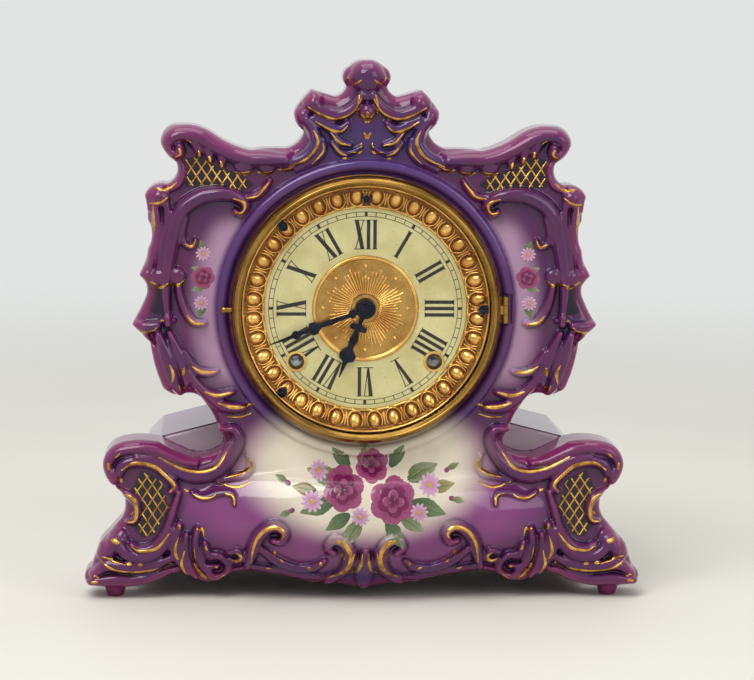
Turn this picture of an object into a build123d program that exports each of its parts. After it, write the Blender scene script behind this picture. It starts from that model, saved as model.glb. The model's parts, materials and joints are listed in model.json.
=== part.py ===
from build123d import *
from math import atan2, cos, degrees, hypot, pi, radians, sin, sqrt
import os

# China mantel clock, millimetres.
# Origin: centre of the footprint on the shelf. +Z up, the dial faces -Y.

# Driving dimensions of the case
DIAL_Z = 160.0              # height of the dial centre above the shelf
FACE_Y = -46.0              # flat glazed face round the dial
SLAB_BACK_Y = -18.0         # back of the scrolled front
WALL = 6.0                  # thickness of the cast walls
DRUM_R = 90.0               # round body behind the dial
DRUM_BACK_Y = 54.0
BASE_BACK_Y = 56.0
BASE_TOP_HALF = 119.0       # half width of the rear base at its shoulder
BASE_FOOT_HALF = 125.0      # half width of the rear base at the bottom
BASE_BOTTOM_Z = 7.0
BASE_SHOULDER_Z = 84.0
BASE_TOP_Z = 96.0           # where the drum rises out of the base
NECK_HALF = 72.0
FRONT_HOLLOW_HALF = 110.0
FRONT_HOLLOW_Z = 70.0
DIAL_HOLE_R = 69.0
BACK_HOLE_R = 60.0
FRONT_LIMIT_Y = -68.0       # foremost swell of the base, level with the knob behind
BELLY_AXIS_Y = 200.0        # upright axis that the swollen front of the base is turned about
BELLY_LOW_Z = 12.0
BELLY_HIGH_Z = 74.0
BELLY_RISE = 22.0
BELLY_HALF_ANGLE = 24.0

# Driving dimensions of the dial and its bezel
BEZEL_R = 73.3
BEZEL_INNER_R = 67.7
GLASS_R = 69.7
EGG_COUNT = 36
EGG_RING_OUT = 67.5
EGG_RING_IN = 54.7
DIAL_R = 55.5
CENTER_DISC_R = 29.0
WINDING_X = 37.5
WINDING_Z = -29.0           # from the dial centre
REGULATOR_R = 59.6          # regulator hole above the dial centre
PAN_FLOOR_Y = -40.8
MINUTE_ANGLE = 249.5        # clockwise from twelve
HOUR_ANGLE = 200.8
BEZEL_HINGE_X = 75.6
BEZEL_HINGE_Y = -48.9
DOOR_HINGE_X = 64.5
DOOR_HINGE_Y = 57.4

# Driving dimensions of the movement
FRONT_PLATE_Y = -34.0       # front face of the front plate
BACK_PLATE_Y = 0.0          # front face of the back plate
PLATE_T = 1.6
PLATE_R = 66.5
PLATE_TOP = 57.0
PLATE_BOTTOM = -62.0
FIT = 0.05                  # radial running clearance
PIVOT_R = 0.9
ARBOR_R = 1.1
MAIN_MODULE = 0.6
GREAT_TEETH = 66
MAIN_PINION = 12
SECOND_TEETH = 70
CENTER_TEETH = 80
CENTER_MODULE = 0.45
THIRD_TEETH = 72
THIRD_MODULE = 0.42
LEAF_COUNT = 8
ESCAPE_TEETH = 60
ESCAPE_R = 15.0
STRIKE_MODULE = 0.5
STRIKE_SECOND_TEETH = 60
STOP_TEETH = 56
WARNING_TEETH = 48
MOTION_MODULE = 0.5
CANNON_TEETH = 10
MINUTE_TEETH = 30
HOUR_TEETH = 32
SWING_Z = 52.0              # pendulum and verge axis above the dial centre
PENDULUM_Y = 12.0
BOB_Z = 100.0
BOB_R = 13.0
GONG_X = -62.0
GONG_Z = 52.0
GONG_Y = 22.0
GONG_R = 33.0
HAMMER = (-21.0, -52.0)

PILLARS = [(62, 2), (-62, 2), (0, -57), (36, 46), (-36, 46)]
POSTS = [(45, 30), (-45, 30), (14, -52), (-6, -46)]
CLAMP_ANGLES = [90, 225, 315]
CLAMP_R = 63.6
RING_SCREW_ANGLES = [30, 150, 270]
SWING_PLANE = DIAL_Z + SWING_Z

DIAL_AXIS = Axis((0, 0, DIAL_Z), (0, 1, 0))
FRONT_PLATE_BACK = FRONT_PLATE_Y + PLATE_T
BACK_PLATE_BACK = BACK_PLATE_Y + PLATE_T

os.makedirs("parts", exist_ok=True)


def finish(piece, label):
    piece.part.label = label
    export_step(piece.part, f"parts/{label}.step")
    print(label, round(piece.part.volume, 1), len(piece.part.solids()))


def upright(y):
    """The vertical plane at depth y. Its x is X, its y is Z, and it is drawn on from in front."""
    return Plane.XZ.offset(-y)


def clock(radius, angle):
    """A point of the dial plane, by its angle clockwise from twelve."""
    return (radius * sin(radians(angle)), DIAL_Z + radius * cos(radians(angle)))


def rod(x, z, radius, y_front, y_back, mode=Mode.ADD):
    """A round bar along Y."""
    with BuildSketch(upright(y_back)) as profile:
        with Locations((x, z)):
            Circle(radius)
    extrude(profile.sketch, amount=y_back - y_front, mode=mode)


def block(x0, x1, y0, y1, z0, z1, mode=Mode.ADD):
    """A square-edged bar between two corners."""
    with Locations(((x0 + x1) / 2, (y0 + y1) / 2, (z0 + z1) / 2)):
        Box(x1 - x0, y1 - y0, z1 - z0, mode=mode)


def plate_sketch(points, y_front, y_back, mode=Mode.ADD):
    """A flat piece with a straight-sided outline, given as X and Z."""
    with BuildSketch(upright(y_back)) as profile:
        with BuildLine():
            Polyline(*points, close=True)
        make_face()
    extrude(profile.sketch, amount=y_back - y_front, mode=mode)


def turned(points, mode=Mode.ADD):
    """A ring or cup turned about the dial axis from (radius, y) points."""
    with BuildSketch(Plane.XY.offset(DIAL_Z)) as profile:
        with BuildLine():
            Polyline(*points, close=True)
        make_face()
    revolve(profile.sketch, axis=DIAL_AXIS, mode=mode)


def third_point(p, q, from_p, from_q, side):
    """The point at the given distances from p and q, on one side of the line p to q."""
    span = hypot(q[0] - p[0], q[1] - p[1])
    along = (from_p ** 2 - from_q ** 2 + span ** 2) / (2 * span)
    off = side * sqrt(from_p ** 2 - along ** 2)
    ux = (q[0] - p[0]) / span
    uz = (q[1] - p[1]) / span
    return (p[0] + along * ux - off * uz, p[1] + along * uz + off * ux)


def heading(p, q):
    """The direction from p to q in degrees, anticlockwise from +X as seen from in front."""
    return degrees(atan2(q[1] - p[1], q[0] - p[0]))


def gear(centre, teeth, module, phase, y_front, y_back):
    """A toothed disc about a point given from the dial centre. One tooth points along phase."""
    pitch_r = teeth * module / 2
    tip_r = pitch_r + 0.8 * module
    root_r = pitch_r - 1.15 * module
    step = 360 / teeth
    points = []
    for i in range(teeth):
        for radius, lean in ((root_r, -0.24), (tip_r, -0.09), (tip_r, 0.09), (root_r, 0.24)):
            angle = radians(phase + (i + lean) * step)
            points.append((centre[0] + radius * cos(angle), DIAL_Z + centre[1] + radius * sin(angle)))
    plate_sketch(points, y_front, y_back)


def driver(centre, other, teeth, module, y_front, y_back):
    """The wheel of a pair, with a tooth on the line to the pinion."""
    gear(centre, teeth, module, heading(centre, other), y_front, y_back)


def driven(centre, other, teeth, module, y_front, y_back):
    """The pinion of a pair, with a gap on the line to the wheel."""
    gear(centre, teeth, module, heading(centre, other) + 180 / teeth, y_front, y_back)


def crossings(centre, hub_r, rim_r, bars, width, y_front, y_back):
    """The windows between a wheel's spokes. Each bar is two opposite spokes."""
    with BuildSketch(upright(y_back)) as profile:
        with Locations((centre[0], DIAL_Z + centre[1])):
            Circle(rim_r)
            Circle(hub_r, mode=Mode.SUBTRACT)
            for i in range(bars):
                Rectangle(2 * rim_r + 2, width, rotation=45 + i * 180 / bars, mode=Mode.SUBTRACT)
    extrude(profile.sketch, amount=y_back - y_front, mode=Mode.SUBTRACT)


def pin(centre, radius, y_front, y_back, mode=Mode.ADD):
    """A round bar about a point given from the dial centre."""
    rod(centre[0], DIAL_Z + centre[1], radius, y_front, y_back, mode)


def spiral(x, z, first_r, pitch, half_turns, offset):
    """Half circles about two centres, which widen by the pitch in each turn."""
    for k in range(half_turns):
        shift = pitch / 2 if k % 2 else 0
        start = 180 if k % 2 else 0
        CenterArc((x + shift, z), first_r + k * pitch / 2 + offset, start, 180)


# Places of the arbors, from the dial centre
TIME_GREAT = (WINDING_X, WINDING_Z)
STRIKE_GREAT = (-WINDING_X, WINDING_Z)
CENTER = (0.0, 0.0)
ESCAPE = (0.0, 31.0)
GREAT_REACH = (GREAT_TEETH + MAIN_PINION) * MAIN_MODULE / 2
SECOND = third_point(TIME_GREAT, CENTER, GREAT_REACH, (SECOND_TEETH + MAIN_PINION) * MAIN_MODULE / 2, -1)
THIRD = third_point(CENTER, ESCAPE, (CENTER_TEETH + LEAF_COUNT) * CENTER_MODULE / 2,
                    (THIRD_TEETH + LEAF_COUNT) * THIRD_MODULE / 2, -1)
MINUTE = third_point(CENTER, (10, 0), (CANNON_TEETH + MINUTE_TEETH) * MOTION_MODULE / 2, 12.0, -1)


def stepped(p, teeth, angle):
    """The next arbor of the striking train, its pinion in mesh with a wheel at p."""
    reach = (teeth + LEAF_COUNT) * STRIKE_MODULE / 2
    return (p[0] + reach * cos(radians(angle)), p[1] + reach * sin(radians(angle)))


STRIKE_SECOND = (STRIKE_GREAT[0] + GREAT_REACH * cos(radians(100)),
                 STRIKE_GREAT[1] + GREAT_REACH * sin(radians(100)))
STOP = stepped(STRIKE_SECOND, STRIKE_SECOND_TEETH, 70)
WARNING = stepped(STOP, STOP_TEETH, 60)
FLY = stepped(WARNING, WARNING_TEETH, 70)
COUNT_PIVOT = (-50.0, 22.0)
VERGE = (0.0, SWING_Z)

# Half outline of the scrolled front, right side, from bottom centre to top centre.
# Each arc runs through three points, and the next one starts where it ends.
BASE_EDGE = [(0, 4.1), (14.8, 7.2), (29, 7.6), (45.4, 12.4), (61.3, 15.8), (70.6, 14.5), (79.9, 9.4),
             (84.8, 8.1), (93, 11), (100.1, 13.2), (106.1, 13.3), (113.8, 9.1), (124.7, 5.6),
             (138.4, 5.2), (149.3, 6.3), (151.8, 8.3)]
CORNER_EDGE = [(149.1, 16.5), (147, 23.1), (144.4, 30.5), (138.4, 37), (132.6, 43.7), (130.4, 52.8),
               (132.9, 59.4), (139.8, 66), (142.4, 74.3), (139.9, 81.7), (132.6, 86.6), (123.1, 88),
               (112.1, 86.9), (105.3, 83.3), (95.7, 78.9), (89.2, 78.1), (78.8, 81.4)]
WAIST_EDGE = [(76.6, 84.7), (79, 91.9), (82.1, 100.4), (87.2, 108.1), (94.4, 113), (99.3, 112.2),
              (104.8, 112.5), (110.8, 119.1), (114.3, 129.3), (116.5, 141.4), (121.4, 145.8)]
FLANK_EDGE = [(126.4, 151.3), (123.1, 156.8), (119.5, 164.5), (119.1, 173.5), (122.6, 177.9),
              (120.1, 182.9), (117.8, 192), (115.7, 201.3), (117.9, 207.6), (118.2, 214.5), (119.5, 221.1)]
SHOULDER_EDGE = [(115.4, 226.1), (107.5, 227.2), (102.3, 232.7), (102.5, 239), (107.5, 243.4),
                 (110.9, 249.2), (108.9, 256), (101.5, 259.3), (91.9, 258.8), (82.6, 254.7),
                 (71.9, 248.6), (62.4, 245.7), (52, 246.6), (44.3, 246.4)]
CREST_EDGE = [(36.9, 250), (33.6, 255.8), (38, 260.4), (39.1, 266.8), (34.2, 273.6), (29.8, 278.3),
              (23.5, 276.4), (17, 274.5), (12, 277.8), (11.4, 284.9), (7.7, 292.1), (0, 294.3)]
HALF_OUTLINE = BASE_EDGE + CORNER_EDGE + WAIST_EDGE + FLANK_EDGE + SHOULDER_EDGE + CREST_EDGE

# Raised scrolls, right side: radius of the roll, how far its middle stands before the face,
# first direction, then the points that its arcs join
SCROLLS = [
    (4.5, 4, (0, 1), [(108, 158), (105, 190), (95, 213), (80, 221), (70, 214)]),
    (3.5, 3, (0, 1), [(98, 196), (93, 206), (84, 212)]),
    (4.5, 6, (-0.5, -1), [(103, 83), (96, 74), (84, 71), (73, 80), (71, 92)]),
    (5.0, 5, (1, 0.1), [(113, 82.5), (124, 82), (136, 74), (131, 65)]),
    (4.0, 6, (0.1, -1), [(108, 66), (107, 50), (113, 34), (126, 28)]),
    (3.5, 7, (0.3, -1), [(144, 26), (128, 17), (110, 20.5)]),
    (3.0, 7, (0, -1), [(101, 40), (100, 30), (99, 22)]),
    (3.5, 7, (0.2, -1), [(92, 32), (83, 16), (74, 20)]),
    (3.0, 14, (0, 1), [(61, 24), (57, 36), (50, 40)]),
    (3.2, 15.5, (0.1, 1), [(21, 18), (19, 28), (13, 34)]),
    (3.8, 5, (-0.9, -0.5), [(97, 123), (84, 113), (75, 114)]),
    (3.5, 5, (-0.7, -0.8), [(101, 140), (94, 129), (86, 126)]),
    (4.0, 4, (0, 1), [(105, 240), (102, 250), (94, 253), (80, 246), (64, 239)]),
]
# Raised knobs of the relief, right side: radius, x, z
KNOBS = [(5.5, 111, 220), (5.5, 30, 271), (5.0, 34, 262), (6.5, 7, 285), (5.5, 119, 151), (6.0, 105, 119)]
BEAD_RING_R = 78.0
BEAD_RING_ROLL = 3.2


def side_roll(roll, stand, direction, points, side):
    """A raised scroll: a round roll along tangent arcs, with ball ends."""
    y = FACE_Y - stand + 3
    placed = [(side * x, z) for x, z in points]
    with BuildLine(upright(y)) as path:
        last = TangentArc(placed[0], placed[1], tangent=(side * direction[0], direction[1]))
        for point in placed[2:]:
            last = TangentArc(last @ 1, point, tangent=last % 1)
    with BuildSketch(Plane(origin=path.line @ 0, z_dir=path.line % 0)) as section:
        Circle(roll)
    sweep(section.sketch, path=path.line)
    for x, z in (placed[0], placed[-1]):
        with Locations((x, y, z)):
            Sphere(roll)


def belly(front_y, low_z, high_z, rise, mode=Mode.ADD):
    """A swelling of the front, round in height and in width."""
    reach = BELLY_AXIS_Y - front_y
    middle_z = (low_z + high_z) / 2
    first = Plane(origin=(0, BELLY_AXIS_Y, 0), x_dir=(0, -1, 0), z_dir=(-1, 0, 0))
    with BuildSketch(first.rotated((0, 0, -BELLY_HALF_ANGLE))) as profile:
        with BuildLine():
            Polyline((reach - rise, high_z), (reach - rise - 6, high_z), (reach - rise - 6, low_z),
                     (reach - rise, low_z))
            ThreePointArc((reach - rise, low_z), (reach, middle_z), (reach - rise, high_z))
        make_face()
    revolve(profile.sketch, axis=Axis((0, BELLY_AXIS_Y, 0), (0, 0, 1)),
            revolution_arc=2 * BELLY_HALF_ANGLE, mode=mode)


def base_hollow():
    """The space inside the rear base, open below, in front and up into the drum."""
    with BuildSketch(upright(BASE_BACK_Y - WALL)) as profile:
        with BuildLine():
            Polyline((-BASE_FOOT_HALF + WALL, -2), (BASE_FOOT_HALF - WALL, -2),
                     (BASE_TOP_HALF - WALL, BASE_SHOULDER_Z - WALL), (NECK_HALF - 2, BASE_TOP_Z - WALL),
                     (-NECK_HALF + 2, BASE_TOP_Z - WALL), (-BASE_TOP_HALF + WALL, BASE_SHOULDER_Z - WALL), close=True)
        make_face()
    extrude(profile.sketch, amount=BASE_BACK_Y - WALL - SLAB_BACK_Y + 1, mode=Mode.SUBTRACT)


def feet(x, y):
    """A pair of small round feet, cast with the walls above them."""
    with BuildSketch(Plane.XY) as profile:
        with Locations((x, y), (-x, y)):
            Circle(4.5)
    extrude(profile.sketch, amount=BASE_BOTTOM_Z + 3, taper=-14)


with BuildPart() as china_front:
    with BuildSketch(upright(SLAB_BACK_Y)):
        with BuildLine():
            for side in (1, -1):
                for i in range(0, len(HALF_OUTLINE) - 1, 2):
                    ThreePointArc(*[(side * x, z) for x, z in HALF_OUTLINE[i:i + 3]])
        make_face()
    extrude(amount=SLAB_BACK_Y - FACE_Y)
    # The base swells forward under the dial
    belly(FRONT_LIMIT_Y, BELLY_LOW_Z, BELLY_HIGH_Z, BELLY_RISE)
    # Rolls of the relief, the same on both sides
    for scroll in SCROLLS:
        side_roll(*scroll, side=1)
        side_roll(*scroll, side=-1)
    for radius, x, z in KNOBS:
        with Locations((x, FACE_Y + 1, z), (-x, FACE_Y + 1, z)):
            Sphere(radius)
    # The hollow behind the swelling, open below, and the round space behind the dial
    block(-FRONT_HOLLOW_HALF, FRONT_HOLLOW_HALF, FACE_Y + WALL, SLAB_BACK_Y + 1, -2, FRONT_HOLLOW_Z, Mode.SUBTRACT)
    belly(FRONT_LIMIT_Y + WALL, BELLY_LOW_Z + WALL, BELLY_HIGH_Z - WALL, BELLY_RISE - 2, Mode.SUBTRACT)
    rod(0, DIAL_Z, DRUM_R - WALL, FACE_Y + WALL, SLAB_BACK_Y + 1, Mode.SUBTRACT)
    # Dial surround, its hole and the seat of the bezel hinge
    with BuildSketch(Plane.XY.offset(DIAL_Z)):
        with Locations((BEAD_RING_R, FACE_Y + 0.5)):
            Circle(BEAD_RING_ROLL)
    revolve(axis=DIAL_AXIS)
    rod(0, DIAL_Z, DIAL_HOLE_R, FRONT_LIMIT_Y - 2, FACE_Y + WALL + 1, Mode.SUBTRACT)
    rod(0, DIAL_Z, BEZEL_R + 0.9, FRONT_LIMIT_Y - 2, FACE_Y, Mode.SUBTRACT)
    block(70, 79.5, FRONT_LIMIT_Y, FACE_Y, DIAL_Z - 8.5, DIAL_Z + 8.5, Mode.SUBTRACT)
    feet(136, -34)
finish(china_front, "china_front")

with BuildPart() as china_drum:
    turned([(DRUM_R - WALL, SLAB_BACK_Y), (DRUM_R, SLAB_BACK_Y), (DRUM_R, DRUM_BACK_Y - 7),
            (DRUM_R - 2, DRUM_BACK_Y - 2), (DRUM_R - 7, DRUM_BACK_Y), (BACK_HOLE_R, DRUM_BACK_Y),
            (BACK_HOLE_R, DRUM_BACK_Y - WALL), (DRUM_R - WALL, DRUM_BACK_Y - WALL)])
    base_hollow()
finish(china_drum, "china_drum")

with BuildPart() as china_base:
    with BuildSketch(upright(BASE_BACK_Y)):
        with BuildLine():
            Polyline((-BASE_FOOT_HALF, BASE_BOTTOM_Z), (BASE_FOOT_HALF, BASE_BOTTOM_Z),
                     (BASE_TOP_HALF, BASE_SHOULDER_Z - 6), (BASE_TOP_HALF - 8, BASE_SHOULDER_Z + 2),
                     (NECK_HALF, BASE_TOP_Z), (-NECK_HALF, BASE_TOP_Z),
                     (-BASE_TOP_HALF + 8, BASE_SHOULDER_Z + 2), (-BASE_TOP_HALF, BASE_SHOULDER_Z - 6), close=True)
        make_face()
    extrude(amount=BASE_BACK_Y - SLAB_BACK_Y)
    base_hollow()
    rod(0, DIAL_Z, DRUM_R, SLAB_BACK_Y - 1, BASE_BACK_Y + 1, Mode.SUBTRACT)
    feet(117, 48)
    # Screw hole of the gong block, through the back wall
    rod(GONG_X, GONG_Z, 2.2, BASE_BACK_Y - WALL - 1, BASE_BACK_Y + 1, Mode.SUBTRACT)
finish(china_base, "china_base")

with BuildPart() as front_pan:
    turned([(EGG_RING_OUT + 0.3, FACE_Y - 0.8), (72.5, FACE_Y - 0.8), (72.5, FACE_Y), (68.6, FACE_Y),
            (68.6, PAN_FLOOR_Y), (0.01, PAN_FLOOR_Y), (0.01, PAN_FLOOR_Y - 0.8),
            (EGG_RING_OUT + 0.3, PAN_FLOOR_Y - 0.8)])
    pin(CENTER, 5, -43, -40, Mode.SUBTRACT)
    for great in (TIME_GREAT, STRIKE_GREAT):
        pin(great, 5.0, -43, -40, Mode.SUBTRACT)
    pin((0, REGULATOR_R), 2.6, -43, -40, Mode.SUBTRACT)
    for angle in CLAMP_ANGLES:
        rod(*clock(CLAMP_R, angle), 1.3, -43, -40, Mode.SUBTRACT)
    for post in POSTS:
        pin(post, 1.3, -43, -40, Mode.SUBTRACT)
finish(front_pan, "front_pan")

with BuildPart() as sash_ring:
    turned([(EGG_RING_IN, -43), (EGG_RING_IN, -44.2), (66.2, -49.0), (EGG_RING_OUT, -48.4),
            (EGG_RING_OUT, PAN_FLOOR_Y - 0.8), (56, PAN_FLOOR_Y - 0.8), (56, -43)])
    for i in range(EGG_COUNT):
        x, z = clock(60.8, i * 360 / EGG_COUNT + 5)
        with Locations((x, -46.0, z)):
            Sphere(2.9)
    rod(0, DIAL_Z, EGG_RING_IN, -50, -40, Mode.SUBTRACT)
    turned([(EGG_RING_IN - 1, -43), (56, -43), (56, -39), (EGG_RING_IN - 1, -39)], Mode.SUBTRACT)
    turned([(56, PAN_FLOOR_Y - 0.8), (70, PAN_FLOOR_Y - 0.8), (70, -38), (56, -38)], Mode.SUBTRACT)
    pin((0, REGULATOR_R), 2.6, -51, -40, Mode.SUBTRACT)
    for angle in CLAMP_ANGLES:
        rod(*clock(CLAMP_R, angle), 1.3, -51, -40, Mode.SUBTRACT)
        rod(*clock(CLAMP_R, angle), 2.8, -51, -47.4, Mode.SUBTRACT)
finish(sash_ring, "sash_ring")

with BuildPart() as dial_plate:
    rod(0, DIAL_Z, DIAL_R, -42.8, PAN_FLOOR_Y - 0.8)
    pin(CENTER, 5.5, -44, -40, Mode.SUBTRACT)
    for great in (TIME_GREAT, STRIKE_GREAT):
        pin(great, 5.0, -44, -40, Mode.SUBTRACT)
    for post in POSTS:
        pin(post, 2.8, -42, -40, Mode.SUBTRACT)
finish(dial_plate, "dial_plate")

with BuildPart() as dial_center:
    turned([(5.5, -42.8), (5.5, -43.5), (9, -43.6), (26, -43.3), (27.5, -44.0), (CENTER_DISC_R, -43.5),
            (CENTER_DISC_R, -42.8)])
finish(dial_center, "dial_center")

with BuildPart() as winding_grommets:
    for great in (TIME_GREAT, STRIKE_GREAT):
        pin(great, 5.7, -43.7, -42.8)
        pin(great, 4.9, -43, -41.7)
        pin(great, 4.4, -44, -41, Mode.SUBTRACT)
finish(winding_grommets, "winding_grommets")

with BuildPart() as case_clamps:
    for angle in CLAMP_ANGLES:
        middle_x, middle_z = clock(69.5, angle)
        with BuildSketch(upright(-38.4)):
            with Locations((middle_x, middle_z)):
                SlotOverall(22, 9, rotation=90 - angle)
        extrude(amount=1.5)
        rod(*clock(CLAMP_R, angle), 1.25 + FIT, -41, -38, Mode.SUBTRACT)
finish(case_clamps, "case_clamps")

with BuildPart() as case_screws:
    # Three that hold the dial surround to its clamps
    for angle in CLAMP_ANGLES:
        x, z = clock(CLAMP_R, angle)
        rod(x, z, 1.2, -48, -37.4)
        rod(x, z, 2.6, -49.2, -47.4)
        block(x - 2.7, x + 2.7, -49.3, -48.6, z - 0.4, z + 0.4, Mode.SUBTRACT)
    # Three in the ring of the rear door
    for angle in RING_SCREW_ANGLES:
        rod(*clock(63.5, angle), 2.0, 55.2, 55.8)
        rod(*clock(63.5, angle), 1.2, 54.05, 55.3)
    # Four that hold the movement to the posts of the dial pan
    for post in POSTS:
        pin(post, 1.2, -41.6, FRONT_PLATE_BACK)
        pin(post, 2.4, FRONT_PLATE_BACK, FRONT_PLATE_BACK + 0.8)
finish(case_screws, "case_screws")

with BuildPart() as bezel_hinge_leaf:
    block(72.8, 77.6, -46.8, -46.05, DIAL_Z - 7, DIAL_Z + 7)
    for low, high in ((-7, -2.6), (2.6, 7)):
        block(BEZEL_HINGE_X - 0.9, BEZEL_HINGE_X + 1.8, BEZEL_HINGE_Y, -46.4, DIAL_Z + low, DIAL_Z + high)
        with BuildSketch(Plane.XY.offset(DIAL_Z + low)):
            with Locations((BEZEL_HINGE_X, BEZEL_HINGE_Y)):
                Circle(1.8)
        extrude(amount=high - low)
    with BuildSketch(Plane.XY.offset(DIAL_Z - 8)):
        with Locations((BEZEL_HINGE_X, BEZEL_HINGE_Y)):
            Circle(0.8 + FIT)
    extrude(amount=16, mode=Mode.SUBTRACT)
finish(bezel_hinge_leaf, "bezel_hinge_leaf")

with BuildPart() as bezel_hinge_pin:
    with BuildSketch(Plane.XY.offset(DIAL_Z - 7.4)):
        with Locations((BEZEL_HINGE_X, BEZEL_HINGE_Y)):
            Circle(0.8)
    extrude(amount=14.8)
finish(bezel_hinge_pin, "bezel_hinge_pin")

with BuildPart() as bezel_ring:
    with BuildSketch(Plane.XY.offset(DIAL_Z)):
        with BuildLine():
            Polyline((69.9, -47.3), (BEZEL_R, -47.3), (BEZEL_R, -49.6), (72.7, -50.3))
            ThreePointArc((72.7, -50.3), (72.3, -54.2), (70.6, -56.6))
            ThreePointArc((70.6, -56.6), (69.7, -57.4), (68.8, -56.6))
            Polyline((68.8, -56.6), (BEZEL_INNER_R, -55.4), (BEZEL_INNER_R, -53.5), (69.9, -53.5), (69.9, -47.3))
        make_face()
    revolve(axis=DIAL_AXIS)
    block(72.6, BEZEL_HINGE_X, -50.3, -47.8, DIAL_Z - 2.4, DIAL_Z + 2.4)
    with BuildSketch(Plane.XY.offset(DIAL_Z - 2.4)):
        with Locations((BEZEL_HINGE_X, BEZEL_HINGE_Y)):
            Circle(1.8)
    extrude(amount=4.8)
    with BuildSketch(Plane.XY.offset(DIAL_Z - 3)):
        with Locations((BEZEL_HINGE_X, BEZEL_HINGE_Y)):
            Circle(0.8)
    extrude(amount=6, mode=Mode.SUBTRACT)
finish(bezel_ring, "bezel_ring")

with BuildPart() as bezel_glass:
    turned([(0.01, -50.9), (GLASS_R, -50.9), (GLASS_R, -51.7), (62, -53.4), (0.01, -53.4)])
finish(bezel_glass, "bezel_glass")

with BuildPart() as glass_retainer:
    turned([(67.9, -50.9), (69.8, -50.9), (69.8, -49.7), (67.9, -49.7)])
finish(glass_retainer, "glass_retainer")

with BuildPart() as bezel_catch:
    with BuildSketch(Plane.XY.offset(DIAL_Z)):
        with BuildLine():
            Polyline(
                (-78.5, -51.5), (-78.5, -50.7), (-78.1, -50.1), (-77.4, -49.7), (-76.6, -49.6),
                (-75.8, -49.8), (-75.4, -50.0), (-72.8, -50.0), (-72.8, -51.5), close=True,
            )
        make_face()
    revolve(axis=Axis((-76.6, -51.5, DIAL_Z), (1, 0, 0)))
finish(bezel_catch, "bezel_catch")

with BuildPart() as back_ring:
    turned([(58.2, 47), (59.6, 47), (59.6, DRUM_BACK_Y), (67, DRUM_BACK_Y), (67, 55.2), (58.2, 55.2)])
    for low, high in ((-12, -4.2), (4.2, 12)):
        block(DOOR_HINGE_X - 0.8, DOOR_HINGE_X + 0.8, 55, DOOR_HINGE_Y, DIAL_Z + low, DIAL_Z + high)
        with BuildSketch(Plane.XY.offset(DIAL_Z + low)):
            with Locations((DOOR_HINGE_X, DOOR_HINGE_Y)):
                Circle(1.7)
        extrude(amount=high - low)
    with BuildSketch(Plane.XY.offset(DIAL_Z - 13)):
        with Locations((DOOR_HINGE_X, DOOR_HINGE_Y)):
            Circle(0.8 + FIT)
    extrude(amount=26, mode=Mode.SUBTRACT)
    for angle in RING_SCREW_ANGLES:
        rod(*clock(63.5, angle), 1.3, 53, 56, Mode.SUBTRACT)
finish(back_ring, "back_ring")

with BuildPart() as back_hinge_pin:
    with BuildSketch(Plane.XY.offset(DIAL_Z - 12.4)):
        with Locations((DOOR_HINGE_X, DOOR_HINGE_Y)):
            Circle(0.8)
    extrude(amount=24.8)
finish(back_hinge_pin, "back_hinge_pin")

with BuildPart() as back_door:
    turned([(0.01, 57.0), (54, 57.0), (56, 56.0), (60.5, 56.0), (60.5, 57.0), (56.6, 57.0),
            (54.4, 58.0), (0.01, 58.0)])
    # Sound holes in two rings
    for i in range(12):
        rod(*clock(40, i * 30), 2.5, 56, 59, Mode.SUBTRACT)
    for i in range(8):
        rod(*clock(24, i * 45), 2.5, 56, 59, Mode.SUBTRACT)
    block(59.6, DOOR_HINGE_X, 56.0, 57.4, DIAL_Z - 4, DIAL_Z + 4)
    with BuildSketch(Plane.XY.offset(DIAL_Z - 4)):
        with Locations((DOOR_HINGE_X, DOOR_HINGE_Y)):
            Circle(1.7)
    extrude(amount=8)
    with BuildSketch(Plane.XY.offset(DIAL_Z - 5)):
        with Locations((DOOR_HINGE_X, DOOR_HINGE_Y)):
            Circle(0.8)
    extrude(amount=10, mode=Mode.SUBTRACT)
    rod(-49, DIAL_Z, 1.3, 56, 59, Mode.SUBTRACT)
finish(back_door, "back_door")

with BuildPart() as back_door_knob:
    rod(-49, DIAL_Z, 1.3, 56.6, 60)
    rod(-49, DIAL_Z, 2.4, 58, 63)
    with Locations((-49, 64.6, DIAL_Z)):
        Sphere(3.4)
finish(back_door_knob, "back_door_knob")


def movement_plate(y_front):
    """A round plate with flats above and below, cut away between the arbors."""
    with BuildSketch(upright(y_front + PLATE_T)) as profile:
        with Locations((0, DIAL_Z)):
            Circle(PLATE_R)
        with Locations((0, DIAL_Z + (PLATE_TOP + PLATE_BOTTOM) / 2)):
            Rectangle(2 * PLATE_R, PLATE_TOP - PLATE_BOTTOM, mode=Mode.INTERSECT)
        with Locations((0, DIAL_Z - 34)):
            SlotOverall(18, 12, rotation=90, mode=Mode.SUBTRACT)
        with Locations((30, DIAL_Z + 26)):
            Circle(11, mode=Mode.SUBTRACT)
        with Locations((-13, DIAL_Z + 12)):
            Circle(7, mode=Mode.SUBTRACT)
    extrude(profile.sketch, amount=PLATE_T)
    for pillar in PILLARS:
        pin(pillar, 1.5 + FIT, y_front - 1, y_front + 3, Mode.SUBTRACT)
    for arbor in (SECOND, THIRD, STRIKE_SECOND, STOP, WARNING, FLY):
        pin(arbor, PIVOT_R + FIT, y_front - 1, y_front + 3, Mode.SUBTRACT)
    pin(HAMMER, ARBOR_R + FIT, y_front - 1, y_front + 3, Mode.SUBTRACT)


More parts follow.
